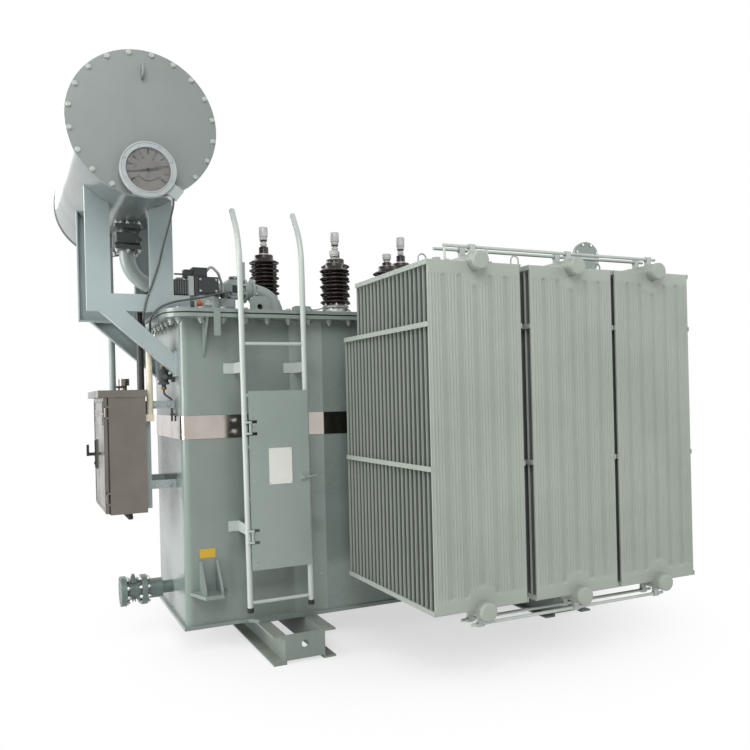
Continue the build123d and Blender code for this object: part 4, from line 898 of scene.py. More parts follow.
@dataclass
class RadiatorBank:
    """The three radiators of each side with what ties them together."""

    lefts: tuple[float, ...] = (-580.0, -1.0, 546.0)
    loops: tuple[tuple[tuple[float, float], ...], ...] = (((25.0, 96.0), (494.0, 6.0)), ((470.0, 51.0),), ())
    tie_levels: tuple[float, float] = (2158.5, 342.5)
    tie_rows: tuple[float, float] = (-1659.5, -1569.5)
    half_width: float = 260.0
    tie_nut: float = 15.0
    neck_levels: tuple[float, float] = (1816.0, 417.0)
    neck_face: float = -562.0
    neck_bolt_circle: float = 66.0

    def build(self) -> None:
        """Make both banks."""
        for side in Side:
            for number, (left, loops) in enumerate(zip(self.lefts, self.loops), start=1):
                PanelRadiator(number, left, side, loops).build()
        dress(Look.RADIATOR, "radiator_straps", "radiator_pipes")
        dress(Look.LADDER, "radiator_tie_bars")
        self.fasteners()

    def fasteners(self) -> None:
        """Nuts on the tie rods and bolts on the neck flanges."""
        sketch = Sketch()
        for level in self.tie_levels:
            for y in self.tie_rows:
                for left in self.lefts:
                    for way in (-1, 1):
                        x = left + self.half_width + way * self.tie_nut
                        sketch.bolt((x, y, level), (way, 0, 0), 13, phase=0.3)
        circle = self.neck_bolt_circle
        for left in self.lefts:
            for level in self.neck_levels:
                for k in range(4):
                    turn = math.radians(45 + 90 * k)
                    spot = (left + self.half_width + circle * math.cos(turn), self.neck_face,
                            level + circle * math.sin(turn))
                    sketch.bolt(spot, (0, -1, 0), 14, 4.0)
        sketch.mirrored(both=True)
        sketch.piece("radiator_fasteners", Look.BOLT, Slot.RADIATOR)


@dataclass
class Tank:
    """Tank, cover, band and skids with their bolts and a blank tag."""

    flange_end: float = 1580.0
    flange_y: float = 580.0
    flange_bottom: float = 1915.0
    cover_top: float = 1963.0
    corner: float = 140.0
    inset: float = 62.0
    pitch: float = 128.1
    first: float = -1377.0
    long_row: int = 22
    short_row: int = 7
    lugs: tuple[float, ...] = (-1030.0, 1150.0)
    lug_y: float = 500.0
    tag_x: tuple[float, float] = (-1398.0, -1310.0)
    tag_y: tuple[float, float] = (-441.0, -438.0)
    tag_z: tuple[float, float] = (557.0, 608.0)

    def build(self) -> None:
        """Dress the tank's nodes and add what is welded or bolted on."""
        dress(Look.TANK, "tank_body", "floor_plate", "tank_flange", "tank_cover", "jacking_pads", "flange_ribs",
              "lifting_lugs")
        dress(Look.RUBBER, "cover_gasket")
        dress(Look.BAND, "bright_band")
        dress(Look.SKID, "skid_left", "skid_right")
        self.flange_bolts()
        self.blank_tag()

    def bolt_places(self) -> list[tuple[float, float]]:
        """(x, y) of each bolt round the flange."""
        x_line, y_line = self.flange_end - self.inset, self.flange_y - self.inset
        places = [(self.first + k * self.pitch, way * y_line) for k in range(self.long_row) for way in (-1, 1)]
        half = (self.short_row - 1) / 2
        places += [(way * x_line, (k - half) * self.pitch) for k in range(self.short_row) for way in (-1, 1)]
        reach = (self.corner - self.inset) * math.sqrt(0.5) - self.corner
        places += [(one * (self.flange_end + reach), two * (self.flange_y + reach))
                   for one in (-1, 1) for two in (-1, 1)]
        return places

    def flange_bolts(self) -> None:
        """Bolt heads on the cover and nuts with stud ends below the flange."""
        sketch = Sketch()
        dice = random.Random(7)
        for x, y in self.bolt_places():
            turn = dice.uniform(0, 1)
            if not any(abs(x - lug) < 75 and abs(abs(y) - self.lug_y) < 40 for lug in self.lugs):
                sketch.bolt((x, y, self.cover_top), (0, 0, 1), 18, phase=turn)
            sketch.bolt((x, y, self.flange_bottom), (0, 0, -1), 20, 12, phase=turn)
        sketch.piece("flange_bolts", Look.NUT, Slot.TANK)

    def blank_tag(self) -> None:
        """The small bare plate on the wall above the jacking bracket."""
        sketch = Sketch()
        sketch.block(self.tag_x, self.tag_y, self.tag_z, 1.2)
        sketch.piece("blank_tag_plate", Look.TAG, Slot.TANK)


@dataclass
class Conservator:
    """Drum, bolted caps and the dial gauge."""

    x: float = -1698.0
    z: float = 2877.0
    cap_y: float = 750.0
    bolt_circle: float = 360.0
    bolts: int = 20
    first_bolt: float = 100.0
    gauge_x: float = -1688.0
    gauge_z: float = 2625.0
    gauge_face: float = -820.0
    dial_radius: float = 112.0
    dial_front: float = -810.0
    eye_z: float = 3140.0

    def build(self) -> None:
        """Dress the drum and make the bolts and the gauge."""
        dress(Look.CONSERVATOR, "conservator_drum")
        dress(Look.CAP, "conservator_cap_front", "conservator_cap_back")
        dress(Look.FRAME, "conservator_frame_front", "conservator_frame_back", "conservator_strut_front",
              "conservator_strut_back")
        dress(Look.BEZEL, "oil_gauge")
        dress(Look.DIAL, "oil_gauge_dial")
        sketch = Sketch()
        for k in range(self.bolts):
            turn = math.radians(self.first_bolt + 360 / self.bolts * k)
            x, z = self.x + self.bolt_circle * math.cos(turn), self.z + self.bolt_circle * math.sin(turn)
            sketch.bolt((x, -self.cap_y, z), (0, -1, 0), 15, phase=turn)
            sketch.bolt((x, -self.cap_y + 30, z), (0, 1, 0), 15, 6, phase=turn)
        sketch.piece("conservator_bolts", Look.NUT, Slot.CONSERVATOR)
        staple = Sketch()
        near, far = -self.cap_y + 2, -self.cap_y - 44
        staple.tube(rounded_path([(self.x, near, self.eye_z + 30), (self.x, far, self.eye_z + 30),
                                  (self.x, far, self.eye_z - 30), (self.x, near, self.eye_z - 30)], 26), 7.0, 12)
        staple.piece("cap_staple", Look.CAP, Slot.CONSERVATOR)
        self.gauge()

    def dial_point(self, angle: float, radius: float, depth: float) -> Vector:
        """A point on the dial.

        Args:
            angle: clockwise from the top as seen from the front, in degrees.
            radius: distance from the dial's middle.
            depth: distance in front of the dial.

        Returns:
            The point in the model's frame.
        """
        turn = math.radians(angle)
        return Vector((self.gauge_x + radius * math.sin(turn), self.dial_front - depth,
                       self.gauge_z + radius * math.cos(turn)))

    def gauge(self) -> None:
        """Ticks, numbers, needle, rim screws and glass."""
        ink = Sketch()
        for k in range(11):
            angle = -125 + 25 * k
            along = (self.dial_point(angle, 1, 0) - self.dial_point(angle, 0, 0)).normalized()
            across = Vector((along.z, 0, -along.x))
            inner, outer = self.dial_point(angle, 78, 0), self.dial_point(angle, 105, 0)
            half = 3.4 if k % 5 else 5.2
            ink.plate([inner - across * half, outer - across * half, outer + across * half,
                       inner + across * half], (0, -1.6, 0), 0)
        arc = [self.dial_point(a, 56, 1.2) for a in range(130, 231, 5)]
        ink.tube(arc, 2.2, 6)
        ink.piece("dial_marks", Look.INK, Slot.DIAL)
        needle = Sketch()
        way, back = self.dial_point(-101, 88, 2.5), self.dial_point(79, 52, 2.5)
        middle = self.dial_point(0, 0, 2.5)
        across = Vector((way.z - back.z, 0, back.x - way.x)).normalized()
        needle.plate([way - across * 2.6, middle - across * 4.6, middle + across * 4.6, way + across * 2.6],
                     (0, -1.2, 0), 0.2)
        needle.plate([middle - across * 6, back - across * 8, back + across * 8, middle + across * 6],
                     (0, -1.2, 0), 0.3)
        needle.lathe([(9, 0), (9, 3), (7, 4.5)], self.dial_point(0, 0, 1.5), (0, -1, 0), 20)
        needle.piece("dial_needle", Look.INK, Slot.DIAL)
        self.numbers()
        rim = Sketch()
        for k in range(8):
            turn = math.radians(22.5 + 45 * k)
            spot = (self.gauge_x + 125 * math.cos(turn), self.gauge_face, self.gauge_z + 125 * math.sin(turn))
            rim.lathe([(6, 0), (5.6, 2.2), (4.0, 3.6), (1.5, 4.2)], spot, (0, -1, 0), 14)
        front = (self.gauge_x, self.gauge_face + 0.5, self.gauge_z)
        for inner, outer in ((self.dial_radius - 1.0, self.dial_radius + 6.0), (132.5, 140.4)):
            rim.lathe([(inner, 0), (inner, 2.6), (inner + 1.6, 4.0), (outer - 1.6, 4.0), (outer, 2.6), (outer, 0)],
                      front, (0, -1, 0), 72, hollow=True)
        rim.piece("gauge_rim_screws", Look.BEZEL, Slot.GAUGE)
        glass = Sketch()
        glass.lathe([(110.5, 0), (110.5, 2.0), (108, 3.0), (70, 3.6), (20, 3.8)],
                    (self.gauge_x, self.gauge_face + 4, self.gauge_z), (0, -1, 0), 64)
        glass.piece("gauge_glass", Look.GLASS, Slot.DIAL)

    def numbers(self) -> None:
        """Plain scale numbers beside the ticks."""
        for k in range(0, 11, 2):
            text = bpy.data.curves.new(f"dial_number_{k}", "FONT")
            text.body = str(k)
            text.size, text.extrude = 22 * MM, 0.8 * MM
            text.align_x, text.align_y = "CENTER", "CENTER"
            made = bpy.data.objects.new(f"dial_number_{k}", text)
            bpy.context.scene.collection.objects.link(made)
            made.location = self.dial_point(-125 + 25 * k, 64, 1.0) * MM
            made.rotation_euler = (math.radians(90), 0, 0)
            text.materials.append(Look.INK.material())
            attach(made, MAIN_BODY)


@dataclass
class Bushing:
    """One ribbed porcelain bushing on the cover."""

    x: float
    y: float
    foot_height: float
    height: float
    shed_radius: float
    core_radius: float
    sheds: int
    foot_radius: float
    terminal_height: float
    cover_top: float = 1963.0

    def porcelain(self, sketch: Sketch) -> None:
        """Large and small sheds in turn, each with a rounded drip edge."""
        base = self.cover_top + self.foot_height
        pitch = self.height / (self.sheds + 0.4)
        core = self.core_radius
        profile = [(core, 0.0)]

        def shed(low: float, radius: float, thick: float) -> None:
            profile.extend([(core, low), (core + 4, low + 0.6), (0.82 * radius + 0.18 * core, low - 1.0),
                            (radius - 4.5, low - 4.0), (radius - 1.2, low - 2.4), (radius, low + 1.0),
                            (radius - 1.0, low + 4.4), (radius - 5, low + 6.8),
                            (0.6 * radius + 0.4 * core, low + 0.72 * thick),
                            (core + 9, low + 0.95 * thick), (core, low + 1.25 * thick)])

        for index in range(self.sheds):
            low = (index + 0.42) * pitch
            shed(low, self.shed_radius, 0.36 * pitch)
            if index < self.sheds - 1:
                shed(low + 0.54 * pitch, core + (self.shed_radius - core) * 0.68, 0.26 * pitch)
        profile.append((core, self.height))
        sketch.lathe(profile, (self.x, self.y, base), segments=40)

    def foot(self, sketch: Sketch) -> None:
        """Clamp ring, its studs and the flange on the cover."""
        top, radius = self.cover_top, self.foot_radius
        core = self.core_radius
        sketch.lathe([(radius, 0), (radius, 13), (radius - 3, 16), (core + 12, 17), (core + 6, 24),
                      (core + 6, self.foot_height - 22), (radius - 6, self.foot_height - 16),
                      (radius - 4, self.foot_height - 6), (radius - 9, self.foot_height),
                      (core + 1, self.foot_height)],
                     (self.x, self.y, top), segments=40)
        for k in range(6):
            turn = math.radians(60 * k + 15)
            x, y = self.x + (radius - 13) * math.cos(turn), self.y + (radius - 13) * math.sin(turn)
            sketch.bolt((x, y, top + 15), (0, 0, 1), 11, 12)
            sketch.bolt((x, y, top + self.foot_height - 3), (0, 0, 1), 11, 6)

    def terminal(self, metal: Sketch, dark: Sketch) -> None:
        """Foot ring, glazed neck, stem with its black ring, and the round connector.

        Args:
            metal: takes the bare parts.
            dark: takes the glazed neck and the black ring.
        """
        base, tall = self.cover_top + self.foot_height + self.height, self.terminal_height
        spot = (self.x, self.y, base)
        metal.lathe([(self.core_radius - 8, -4), (self.core_radius - 6, -1), (38, 2), (36, 0.06 * tall),
                     (33, 0.07 * tall), (17, 0.075 * tall), (17, 0.54 * tall), (25, 0.545 * tall),
                     (26.5, 0.56 * tall), (26.5, 0.66 * tall), (30, 0.67 * tall), (30, 0.97 * tall), (27.5, tall)],
                    spot, segments=32)
        dark.lathe([(33, 0.07 * tall), (32, 0.10 * tall), (32, 0.29 * tall), (27, 0.315 * tall),
                    (18.5, 0.32 * tall), (18, 0.33 * tall)], spot, segments=32)
        dark.lathe([(17.6, 0.50 * tall), (24, 0.505 * tall), (24, 0.54 * tall), (17.6, 0.542 * tall)], spot,
                   segments=28)
        metal.hexagon((self.x, self.y, base + 0.37 * tall), (0, 0, 1), 40, 0.08 * tall, 0.2)
        metal.rod((self.x + 20, self.y, base + 0.05 * tall), (self.x + 58, self.y, base + 0.05 * tall), 5)


@dataclass
class BushingRows:
    """Both rows of bushings."""

    high: tuple[float, ...] = (-796.0, -280.0, 236.0)
    low: tuple[float, ...] = (-452.0, -75.0, 302.0)

    def build(self) -> None:
        """Make porcelain, feet and terminals in place of the CAD nodes."""
        rows = {"hv": [Bushing(x, 160, 70, 379, 100, 62, 7, 95, 191) for x in self.high],
                "lv": [Bushing(x, -240, 76, 270, 95, 56, 5, 86, 84) for x in self.low]}
        feet, terminals, necks = Sketch(), Sketch(), Sketch()
        for name, bushings in rows.items():
            porcelain = Sketch()
            for bushing in bushings:
                bushing.porcelain(porcelain)
                bushing.foot(feet)
                bushing.terminal(terminals, necks)
            porcelain.piece(f"{name}_porcelain", Look.PORCELAIN, Slot.GLAZE, replaces=[f"{name}_insulators"],
                            sharp=60)
        feet.piece("bushing_feet", Look.CAST, Slot.FOOT, replaces=["bushing_bases"])
        terminals.piece("bushing_connectors", Look.TERMINAL, Slot.TERMINAL, replaces=["bushing_terminals"])
        necks.piece("bushing_necks", Look.PORCELAIN, Slot.TERMINAL)


@dataclass
class TapChanger:
    """Tap changer head, dark drive housing and finned motor."""

    x: float = -1275.0
    y: float = -160.0
    drive_bottom: float = 2077.0
    drive_top: float = 2191.0
    half_depth: float = 75.0
    motor_left: float = -1463.0
    motor_right: float = -1381.0
    fins: int = 6
    cover_top: float = 1963.0

    def build(self) -> None:
        """Dress the nodes and add covers, motor, taps and screws."""
        dress(Look.PIPE, "tap_changer_head")
        dress(Look.DRIVE, "tap_changer_drive")
        dress(Look.LADDER, "tap_changer_bracket")
        self.covers()
        self.motor()
        self.taps()
        self.junction_box()

    def covers(self) -> None:
        """Bolted covers of the drive housing and its gear box."""
        front = self.y - self.half_depth
        cover = Sketch()
        low, high = self.drive_bottom, self.drive_top
        cover.block((self.x - 48, self.x + 66), (front - 7, front), (low + 18, high - 8), 3)
        cover.block((self.x - 70, self.x + 4), (self.y - 57, self.y - 50), (high + 6, high + 52), 3)
        cover.block((self.x - 125, self.x - 76), (self.y - 40, self.y + 20), (high - 3, high + 44), 4)
        cover.rod((self.x - 184, self.y - 40, high + 14), (self.x - 120, self.y - 40, high + 14), 5)
        cover.piece("drive_covers", Look.DRIVE, Slot.DRIVE)
        screws = Sketch()
        for x in (self.x - 38, self.x + 56):
            for z in (self.drive_bottom + 28, self.drive_top - 18):
                screws.bolt((x, front - 7, z), (0, -1, 0), 7)
        for k in range(8):
            turn = math.radians(22.5 + 45 * k)
            screws.bolt((self.x + 97 * math.cos(turn), self.y + 97 * math.sin(turn), self.cover_top + 26),
                        (0, 0, 1), 9, 5)
        screws.piece("drive_screws", Look.BOLT, Slot.DRIVE)

    def motor(self) -> None:
        """Dark cooling fins round a paler motor core."""
        fins, core = Sketch(), Sketch()
        low, high = self.drive_bottom + 4, self.drive_bottom + 94
        pitch = (self.motor_right - self.motor_left) / self.fins
        for k in range(self.fins):
            start = self.motor_left + k * pitch
            fins.block((start, start + 7), (self.y - 62, self.y + 62), (low, high), 2.2)
        core.block((self.motor_left + 4, self.motor_right), (self.y - 55, self.y + 55), (low + 6, high - 6), 6)
        core.block((self.motor_left + 20, self.motor_right - 22), (self.y - 30, self.y + 26),
                   (high - 8, high + 16), 4)
        fins.piece("motor_fins", Look.FIN, Slot.MOTOR, replaces=["tap_changer_motor"])
        core.piece("motor_core", Look.MOTOR, Slot.MOTOR)

    def taps(self) -> None:
        """Small vent taps and a blind flange on the head's neck."""
        grip, dark, pale = Sketch(), Sketch(), Sketch()
        level = self.cover_top + 65
        pale.rod((-1324, -228, level), (-1324, -244, level), 9)
        grip.lathe([(12, 0), (16, 3), (16, 14), (13, 17), (12, 22), (5, 24)], (-1324, -243, level), (0, -1, 0), 24)
        grip.rod((-1324, -254, level + 14), (-1324, -254, level + 24), 4)
        dark.rod((-1359, -200, level - 20), (-1359, -200, level + 20), 13, 2)
        dark.rod((-1359, -200, level), (-1340, -188, level), 8)
        pale.lathe([(21, 0), (21, 5), (17, 7), (10, 8)], (-1270, -245, level), (0, -1, 0), 32)
        pale.rod((-1270, -240, level), (-1270, -250, level), 14)
        for k in range(4):
            turn = math.radians(45 + 90 * k)
            dark.hexagon((-1270 + 15 * math.cos(turn), -251, level + 15 * math.sin(turn)), (0, -1, 0), 6, 4)
        grip.piece("tap_grip", Look.ORANGE, Slot.VALVE)
        dark.piece("tap_fittings", Look.FITTING, Slot.VALVE)
        pale.piece("head_blind_flange", Look.CAST, Slot.VALVE)

    def junction_box(self) -> None:
        """Small terminal boxes on the cover with their glands and conduits."""
        boxes, glands, pipes = Sketch(), Sketch(), Sketch()
        top = self.cover_top
        boxes.block((-1178, -1080), (-152, -92), (2018, 2076), 4)
        boxes.block((-1172, -1086), (-157, -152), (2023, 2071), 2)
        for x in (-1166, -1096):
            boxes.block((x, x + 8), (-130, -114), (top, 2019), 1)
            boxes.block((x - 10, x + 18), (-136, -108), (top, top + 4), 1)
        glands.rod((-1152, -122, 2075), (-1152, -122, 2119), 13, 2)
        glands.rod((-1110, -122, 2075), (-1110, -122, 2092), 9, 2)
        boxes.block((-814, -714), (-498, -438), (top, top + 34), 4)
        boxes.block((-808, -720), (-492, -444), (top + 33, top + 37), 2)
        glands.rod((-715, -468, top + 18), (-700, -468, top + 18), 9, 2)
        pipes.tube(rounded_path([(-702, -468, top + 18), (-660, -468, top + 20), (-600, -400, top + 40),
                                 (-545, -270, top + 40)], 60), 4.5, 10)
        pipes.tube(rounded_path([(-1266, -160, 2226), (-1236, -182, 2268), (-1190, -176, 2226),
                                 (-1152, -122, 2160), (-1152, -122, 2116)], 45), 8.0, 12)
        boxes.piece("cover_terminal_boxes", Look.MOTOR, Slot.MOTOR)
        glands.piece("terminal_box_glands", Look.RUBBER, Slot.CABLE)
        pipes.piece("terminal_box_conduits", Look.FLEX, Slot.CONDUIT)


@dataclass
class OilLine:
    """Oil pipe, gas relay, valves and relief vent."""

    level: float = 2148.0
    valve_x: float = -1698.0
    valve_bottom: float = 2361.0
    valve_top: float = 2511.0
    wall: float = -1480.0
    drain_level: float = 322.0
    drain_reach: float = 304.0
    tap: tuple[float, float, float] = (-1536.3, -215.0, 1595.0)

    def build(self) -> None:
        """Dress the nodes and add their bolts, domes and tubes."""
        dress(Look.PIPE, "oil_pipe", "gas_relay", "cover_inlet_pipe", "breather_pipe")
        dress(Look.DARK_PIPE, "relief_vent")
        dress(Look.PIPE, "relay_valve")
        dress(Look.FITTING, "conservator_valve", "wall_valve")
        dress(Look.VALVE, "drain_valve")
        dress(Look.BREATHER, "breather_jar")
        bolts = Sketch()
        for k in range(8):
            turn = math.radians(22.5 + 45 * k)
            bolts.bolt((-926, 66 * math.cos(turn), self.level + 66 * math.sin(turn)), (1, 0, 0), 11, 5)
            bolts.bolt((-990, 68 * math.cos(turn), self.level + 68 * math.sin(turn)), (-1, 0, 0), 11, 5)
            bolts.bolt((1410 + 96 * math.cos(turn), -476, 2412 + 96 * math.sin(turn)), (0, -1, 0), 11)
            bolts.bolt((-770 + 54 * math.cos(turn), 54 * math.sin(turn), 1979), (0, 0, 1), 7, 3)
        for x in (self.valve_x - 64, self.valve_x, self.valve_x + 64):
            for y in (-64, 64):
                bolts.bolt((x, y, self.valve_top), (0, 0, 1), 13, 8)
                bolts.bolt((x, y, self.valve_bottom), (0, 0, -1), 13, 8)
        for x in (self.valve_x - 64, self.valve_x + 64):
            bolts.bolt((x, 0, self.valve_top), (0, 0, 1), 13, 8)
        bolts.piece("oil_line_bolts", Look.BOLT, Slot.PIPE)
        self.relay()
        self.drain()
        self.wall_tap()

    def relay(self) -> None:
        """Windows and domes of the gas relay."""
        dark, ring = Sketch(), Sketch()
        for x in (-1072, -1028):
            dark.lathe([(15, 0), (15, 6), (12, 13), (7, 17), (2, 18)], (x, -36, self.level + 62), (0, 0, 1), 24)
        ring.block((-1086, -1014), (-70, -61), (self.level - 34, self.level + 34), 3)
        dark.block((-1076, -1024), (-72.5, -69), (self.level - 24, self.level + 24), 1)
        for x in (-1081, -1019):
            for z in (-28, 28):
                ring.hexagon((x, -70, self.level + z), (0, -1, 0), 7, 4)
        dark.piece("relay_domes", Look.RUBBER, Slot.VALVE)
        ring.piece("relay_window_frame", Look.PIPE, Slot.PIPE)

    def drain(self) -> None:
        """Bonnet, hand wheel and flange bolts of the drain valve."""
        face, level = self.wall - self.drain_reach, self.drain_level
        middle = self.wall - 0.56 * self.drain_reach
        bolts = Sketch()
        for k in range(8):
            turn = math.radians(22.5 + 45 * k)
            y, z = 72.5 * math.cos(turn), level + 72.5 * math.sin(turn)
            bolts.bolt((face + 32, y, z), (1, 0, 0), 13, 8)
            bolts.bolt((middle + 16, y, z), (1, 0, 0), 13, 8)
            bolts.bolt((middle - 16, y, z), (-1, 0, 0), 13, 6)
        bolts.piece("drain_valve_bolts", Look.BOLT, Slot.VALVE)
        body = Sketch()
        stem = (middle - 60, 0, level + 50)
        body.lathe([(34, 0), (34, 8), (26, 12), (24, 20), (13, 24), (12.5, 38), (8, 40), (8, 48)], stem,
                   segments=32)
        for way in (-1, 1):
            body.plate([(middle - 60 + 5 * way, -50, level - 60), (middle - 60 + 5 * way, 50, level - 60),
                        (middle - 60 + 5 * way, 56, level + 20), (middle - 60 + 5 * way, 20, level + 60),
                        (middle - 60 + 5 * way, -20, level + 60), (middle - 60 + 5 * way, -56, level + 20)],
                       (3 * way, 0, 0), 1)
        for way in (-1, 1):
            body.lathe([(61, 0), (63, 2), (63, 6), (61, 8)], (middle - 60 + 30 * way, 0, level), (1, 0, 0), 40)
        body.piece("drain_valve_bonnet", Look.VALVE, Slot.VALVE)

    def wall_tap(self) -> None:
        """Tubes, nuts and knob of the sampling valve."""
        x, y, z = self.tap
        brass = Sketch()
        for level, way in ((z + 60, 1), (z - 60, -1)):
            brass.hexagon((x, y, level), (0, 0, way), 30, 14)
        brass.hexagon((x, y - 24, z), (0, -1, 0), 26, 12)
        brass.piece("sampling_valve_nuts", Look.COPPER, Slot.VALVE)
        dark = Sketch()
        dark.rod((x, y - 34, z), (x, y - 52, z), 17, 3)
        dark.tube(rounded_path([(x, y, z - 72), (x, y, z - 100), (self.wall - 14, y, z - 130),
                                (self.wall - 14, y, z - 260)], 26), 6.0, 12)
        dark.block((self.wall - 22, self.wall), (y - 16, y + 16), (z - 226, z - 214), 2)
        dark.piece("sampling_valve_tube", Look.FITTING, Slot.VALVE)


@dataclass
class ControlCabinet:
    """Stainless cabinet with hinged door."""

    front: float = -1856.0
    back: float = -1655.0
    half: float = 300.0
    bottom: float = 823.0
    top: float = 1487.0
    door_face: float = -1879.0

    def build(self) -> None:
        """Dress the sheet metal and add seals, windows and handle parts."""
        dress(Look.CABINET, "control_cabinet", "cabinet_door", "cabinet_roof")
        dress(Look.FRAME, "cabinet_brackets")
        dress(Look.CONDUIT, "cable_conduit")
        dress(Look.HOSE, "motor_hose")
        dress(Look.CABLE, "gauge_cable", "relay_cable")
        self.seal()
        self.windows()
        self.handle()
        self.edges()
        self.glands()

    def seal(self) -> None:
        """Rubber strip round the opening behind the door."""
        seal = Sketch()
        for y in (-self.half + 3, self.half - 11):
            seal.block((self.front - 4, self.front), (y, y + 8), (self.bottom + 6, self.top - 6), 1)
        for z in (self.bottom + 2, self.top - 10):
            seal.block((self.front - 4, self.front), (-self.half + 12, self.half - 12), (z, z + 8), 1)
        seal.piece("cabinet_seal", Look.RUBBER, Slot.GASKET)

    def windows(self) -> None:
        """Two dark windows with riveted frames in the door."""
        frames, panes, rivets = Sketch(), Sketch(), Sketch()
        for low, high in ((self.top - 92, self.top - 26), (self.top - 162, self.top - 104)):
            x0, x1, y0, y1 = self.door_face - 3, self.door_face, -220, 190
            for y in ((y0, y0 + 14), (y1 - 14, y1)):
                frames.block((x0, x1), y, (low, high), 0.8)
            for z in ((low, low + 12), (high - 12, high)):
                frames.block((x0, x1), (y0 + 13, y1 - 13), z, 0.8)
            panes.block((x0 + 1.2, x1 + 0.5), (y0 + 12, y1 - 12), (low + 10, high - 10), 0.4)
            for k in range(7):
                for z in (low + 6, high - 6):
                    y = y0 + 7 + k * (y1 - y0 - 14) / 6
                    rivets.lathe([(4, 0), (3.6, 1.2), (2, 2.2)], (x0, y, z), (-1, 0, 0), 12)
        frames.piece("door_window_frames", Look.CABINET, Slot.CABINET, DOOR_BODY)
        panes.piece("door_window_panes", Look.PANE, Slot.CABINET, DOOR_BODY)
        rivets.piece("door_rivets", Look.BOLT, Slot.CABINET, DOOR_BODY)

    def handle(self) -> None:
        """Black lever handle with its escutcheon and lock."""
        y, z = self.half - 120, self.bottom + 0.48 * (self.top - self.bottom)
        grip = Sketch()
        face = self.door_face - 8
        grip.block((face - 5, face), (y - 16, y + 16), (z - 84, z + 84), 2.5)
        grip.lathe([(14, 0), (14, 6), (10, 9), (10, 38), (12, 41), (12, 50), (9, 52)], (face, y, z), (-1, 0, 0), 28)
        grip.block((face - 52, face - 38), (y - 10, y + 10), (z - 4, z + 58), 4)
        grip.lathe([(9, 0), (9, 4), (7, 6)], (face - 4, y, z - 56), (-1, 0, 0), 20)
        grip.piece("door_handle_grip", Look.RUBBER, Slot.CABINET, DOOR_BODY)

    def edges(self) -> None:
        """Folded stiffeners round the door's face and drip edge of the roof."""
        fold = Sketch()
        x0, x1 = self.door_face - 2.5, self.door_face
        low, high, y0, y1 = self.bottom + 10, self.top - 10, -self.half + 24, self.half - 4
        for y in ((y0, y0 + 16), (y1 - 16, y1)):
            fold.block((x0, x1), y, (low, high), 0.9)
        for z in ((low, low + 16), (high - 16, high)):
            fold.block((x0, x1), (y0 + 15, y1 - 15), z, 0.9)
        fold.piece("door_folds", Look.CABINET, Slot.CABINET, DOOR_BODY)
        roof = Sketch()
        reach, front = self.half + 32, self.front - 56
        roof.block((front - 1.0, front + 3), (-reach, reach), (self.top - 6, self.top + 6), 1.2)
        for way in (-1, 1):
            roof.block((front, self.back + 7), (way * reach - 2, way * reach + 2), (self.top - 6, self.top + 6), 1.2)
        roof.piece("roof_drip_edge", Look.CABINET, Slot.CABINET)

    def glands(self) -> None:
        """Cable glands below the cabinet and small fittings on its roof and brackets."""
        gland, bolts = Sketch(), Sketch()
        for y in (-250, -190, -130, -70):
            gland.lathe([(17, 0), (17, 5), (13, 7), (13, 20), (15, 22), (15, 34), (11, 38)],
                        (self.front + 110, y, self.bottom), (0, 0, -1), 24)
        gland.rod((self.front + 44, -286, self.top + 52), (self.front + 96, -286, self.top + 52), 6)
        gland.rod((self.front + 60, -286, self.top + 32), (self.front + 60, -286, self.top + 54), 5)
        gland.piece("cabinet_glands", Look.RUBBER, Slot.CABLE)
        for level in (self.bottom + 146, self.bottom + 611):
            for way in (-1, 1):
                for x in (self.back + 60, self.back + 140):
                    bolts.bolt((x, way * (self.half - 72), level), (0, way, 0), 12, 5)
        for z in (self.bottom + 90, self.top - 90):
            for step in (-16, 16):
                bolts.bolt((self.front - 5, -self.half + 12, z + step), (0, -1, 0), 6)
        bolts.piece("cabinet_bolts", Look.BOLT, Slot.BRACKET)


@dataclass
class Ladder:
    """Tube ladder with its hinged guard plate."""

    sign_x: tuple[float, float] = (-1047.0, -914.0)
    sign_z: tuple[float, float] = (973.0, 1176.0)
    guard_front: float = -664.0
    sign_plate: float = 3.0
    rivet_columns: tuple[float, float] = (-1132.0, -812.0)
    first_rivet: float = 530.0
    rivet_pitch: float = 156.0
    stile_x: tuple[float, float] = (-1167.0, -808.0)
    stile_y: float = -638.0
    foot_level: float = 265.0

    def build(self) -> None:
        """Dress the ladder and add the bare sign plate, the rivets and the feet."""
        dress(Look.LADDER, "ladder", "ladder_brackets")
        dress(Look.GUARD, "ladder_guard")
        sign, studs = Sketch(), Sketch()
        face = self.guard_front - self.sign_plate
        sign.block(self.sign_x, (face, self.guard_front), self.sign_z, 0.8)
        rivet = [(3.6, 0), (3.2, 1.4), (1.6, 2.4)]
        for x in (self.sign_x[0] + 7, self.sign_x[1] - 7):
            for z in (self.sign_z[0] + 8, self.sign_z[1] - 8):
                studs.lathe(rivet, (x, face, z), (0, -1, 0), 12)
        for x in self.rivet_columns:
            for k in range(7):
                level = self.first_rivet + k * self.rivet_pitch
                studs.lathe(rivet, (x, self.guard_front, level), (0, -1, 0), 12)
        sign.piece("blank_sign_plate", Look.SIGN, Slot.LADDER, GUARD_BODY)
        studs.piece("guard_rivets", Look.BOLT, Slot.LADDER, GUARD_BODY)
        feet = Sketch()
        for x in self.stile_x:
            feet.lathe([(16.4, 0), (18, 2), (18, 26), (16.4, 28)], (x, self.stile_y, self.foot_level),
                       segments=24)
        feet.piece("ladder_feet", Look.RUBBER, Slot.LADDER)


@dataclass(frozen=True)
class Lamp:
    """A square soft lamp; place and side in metres, power in watts."""

    name: str
    spot: tuple[float, float, float]
    side: float
    power: float


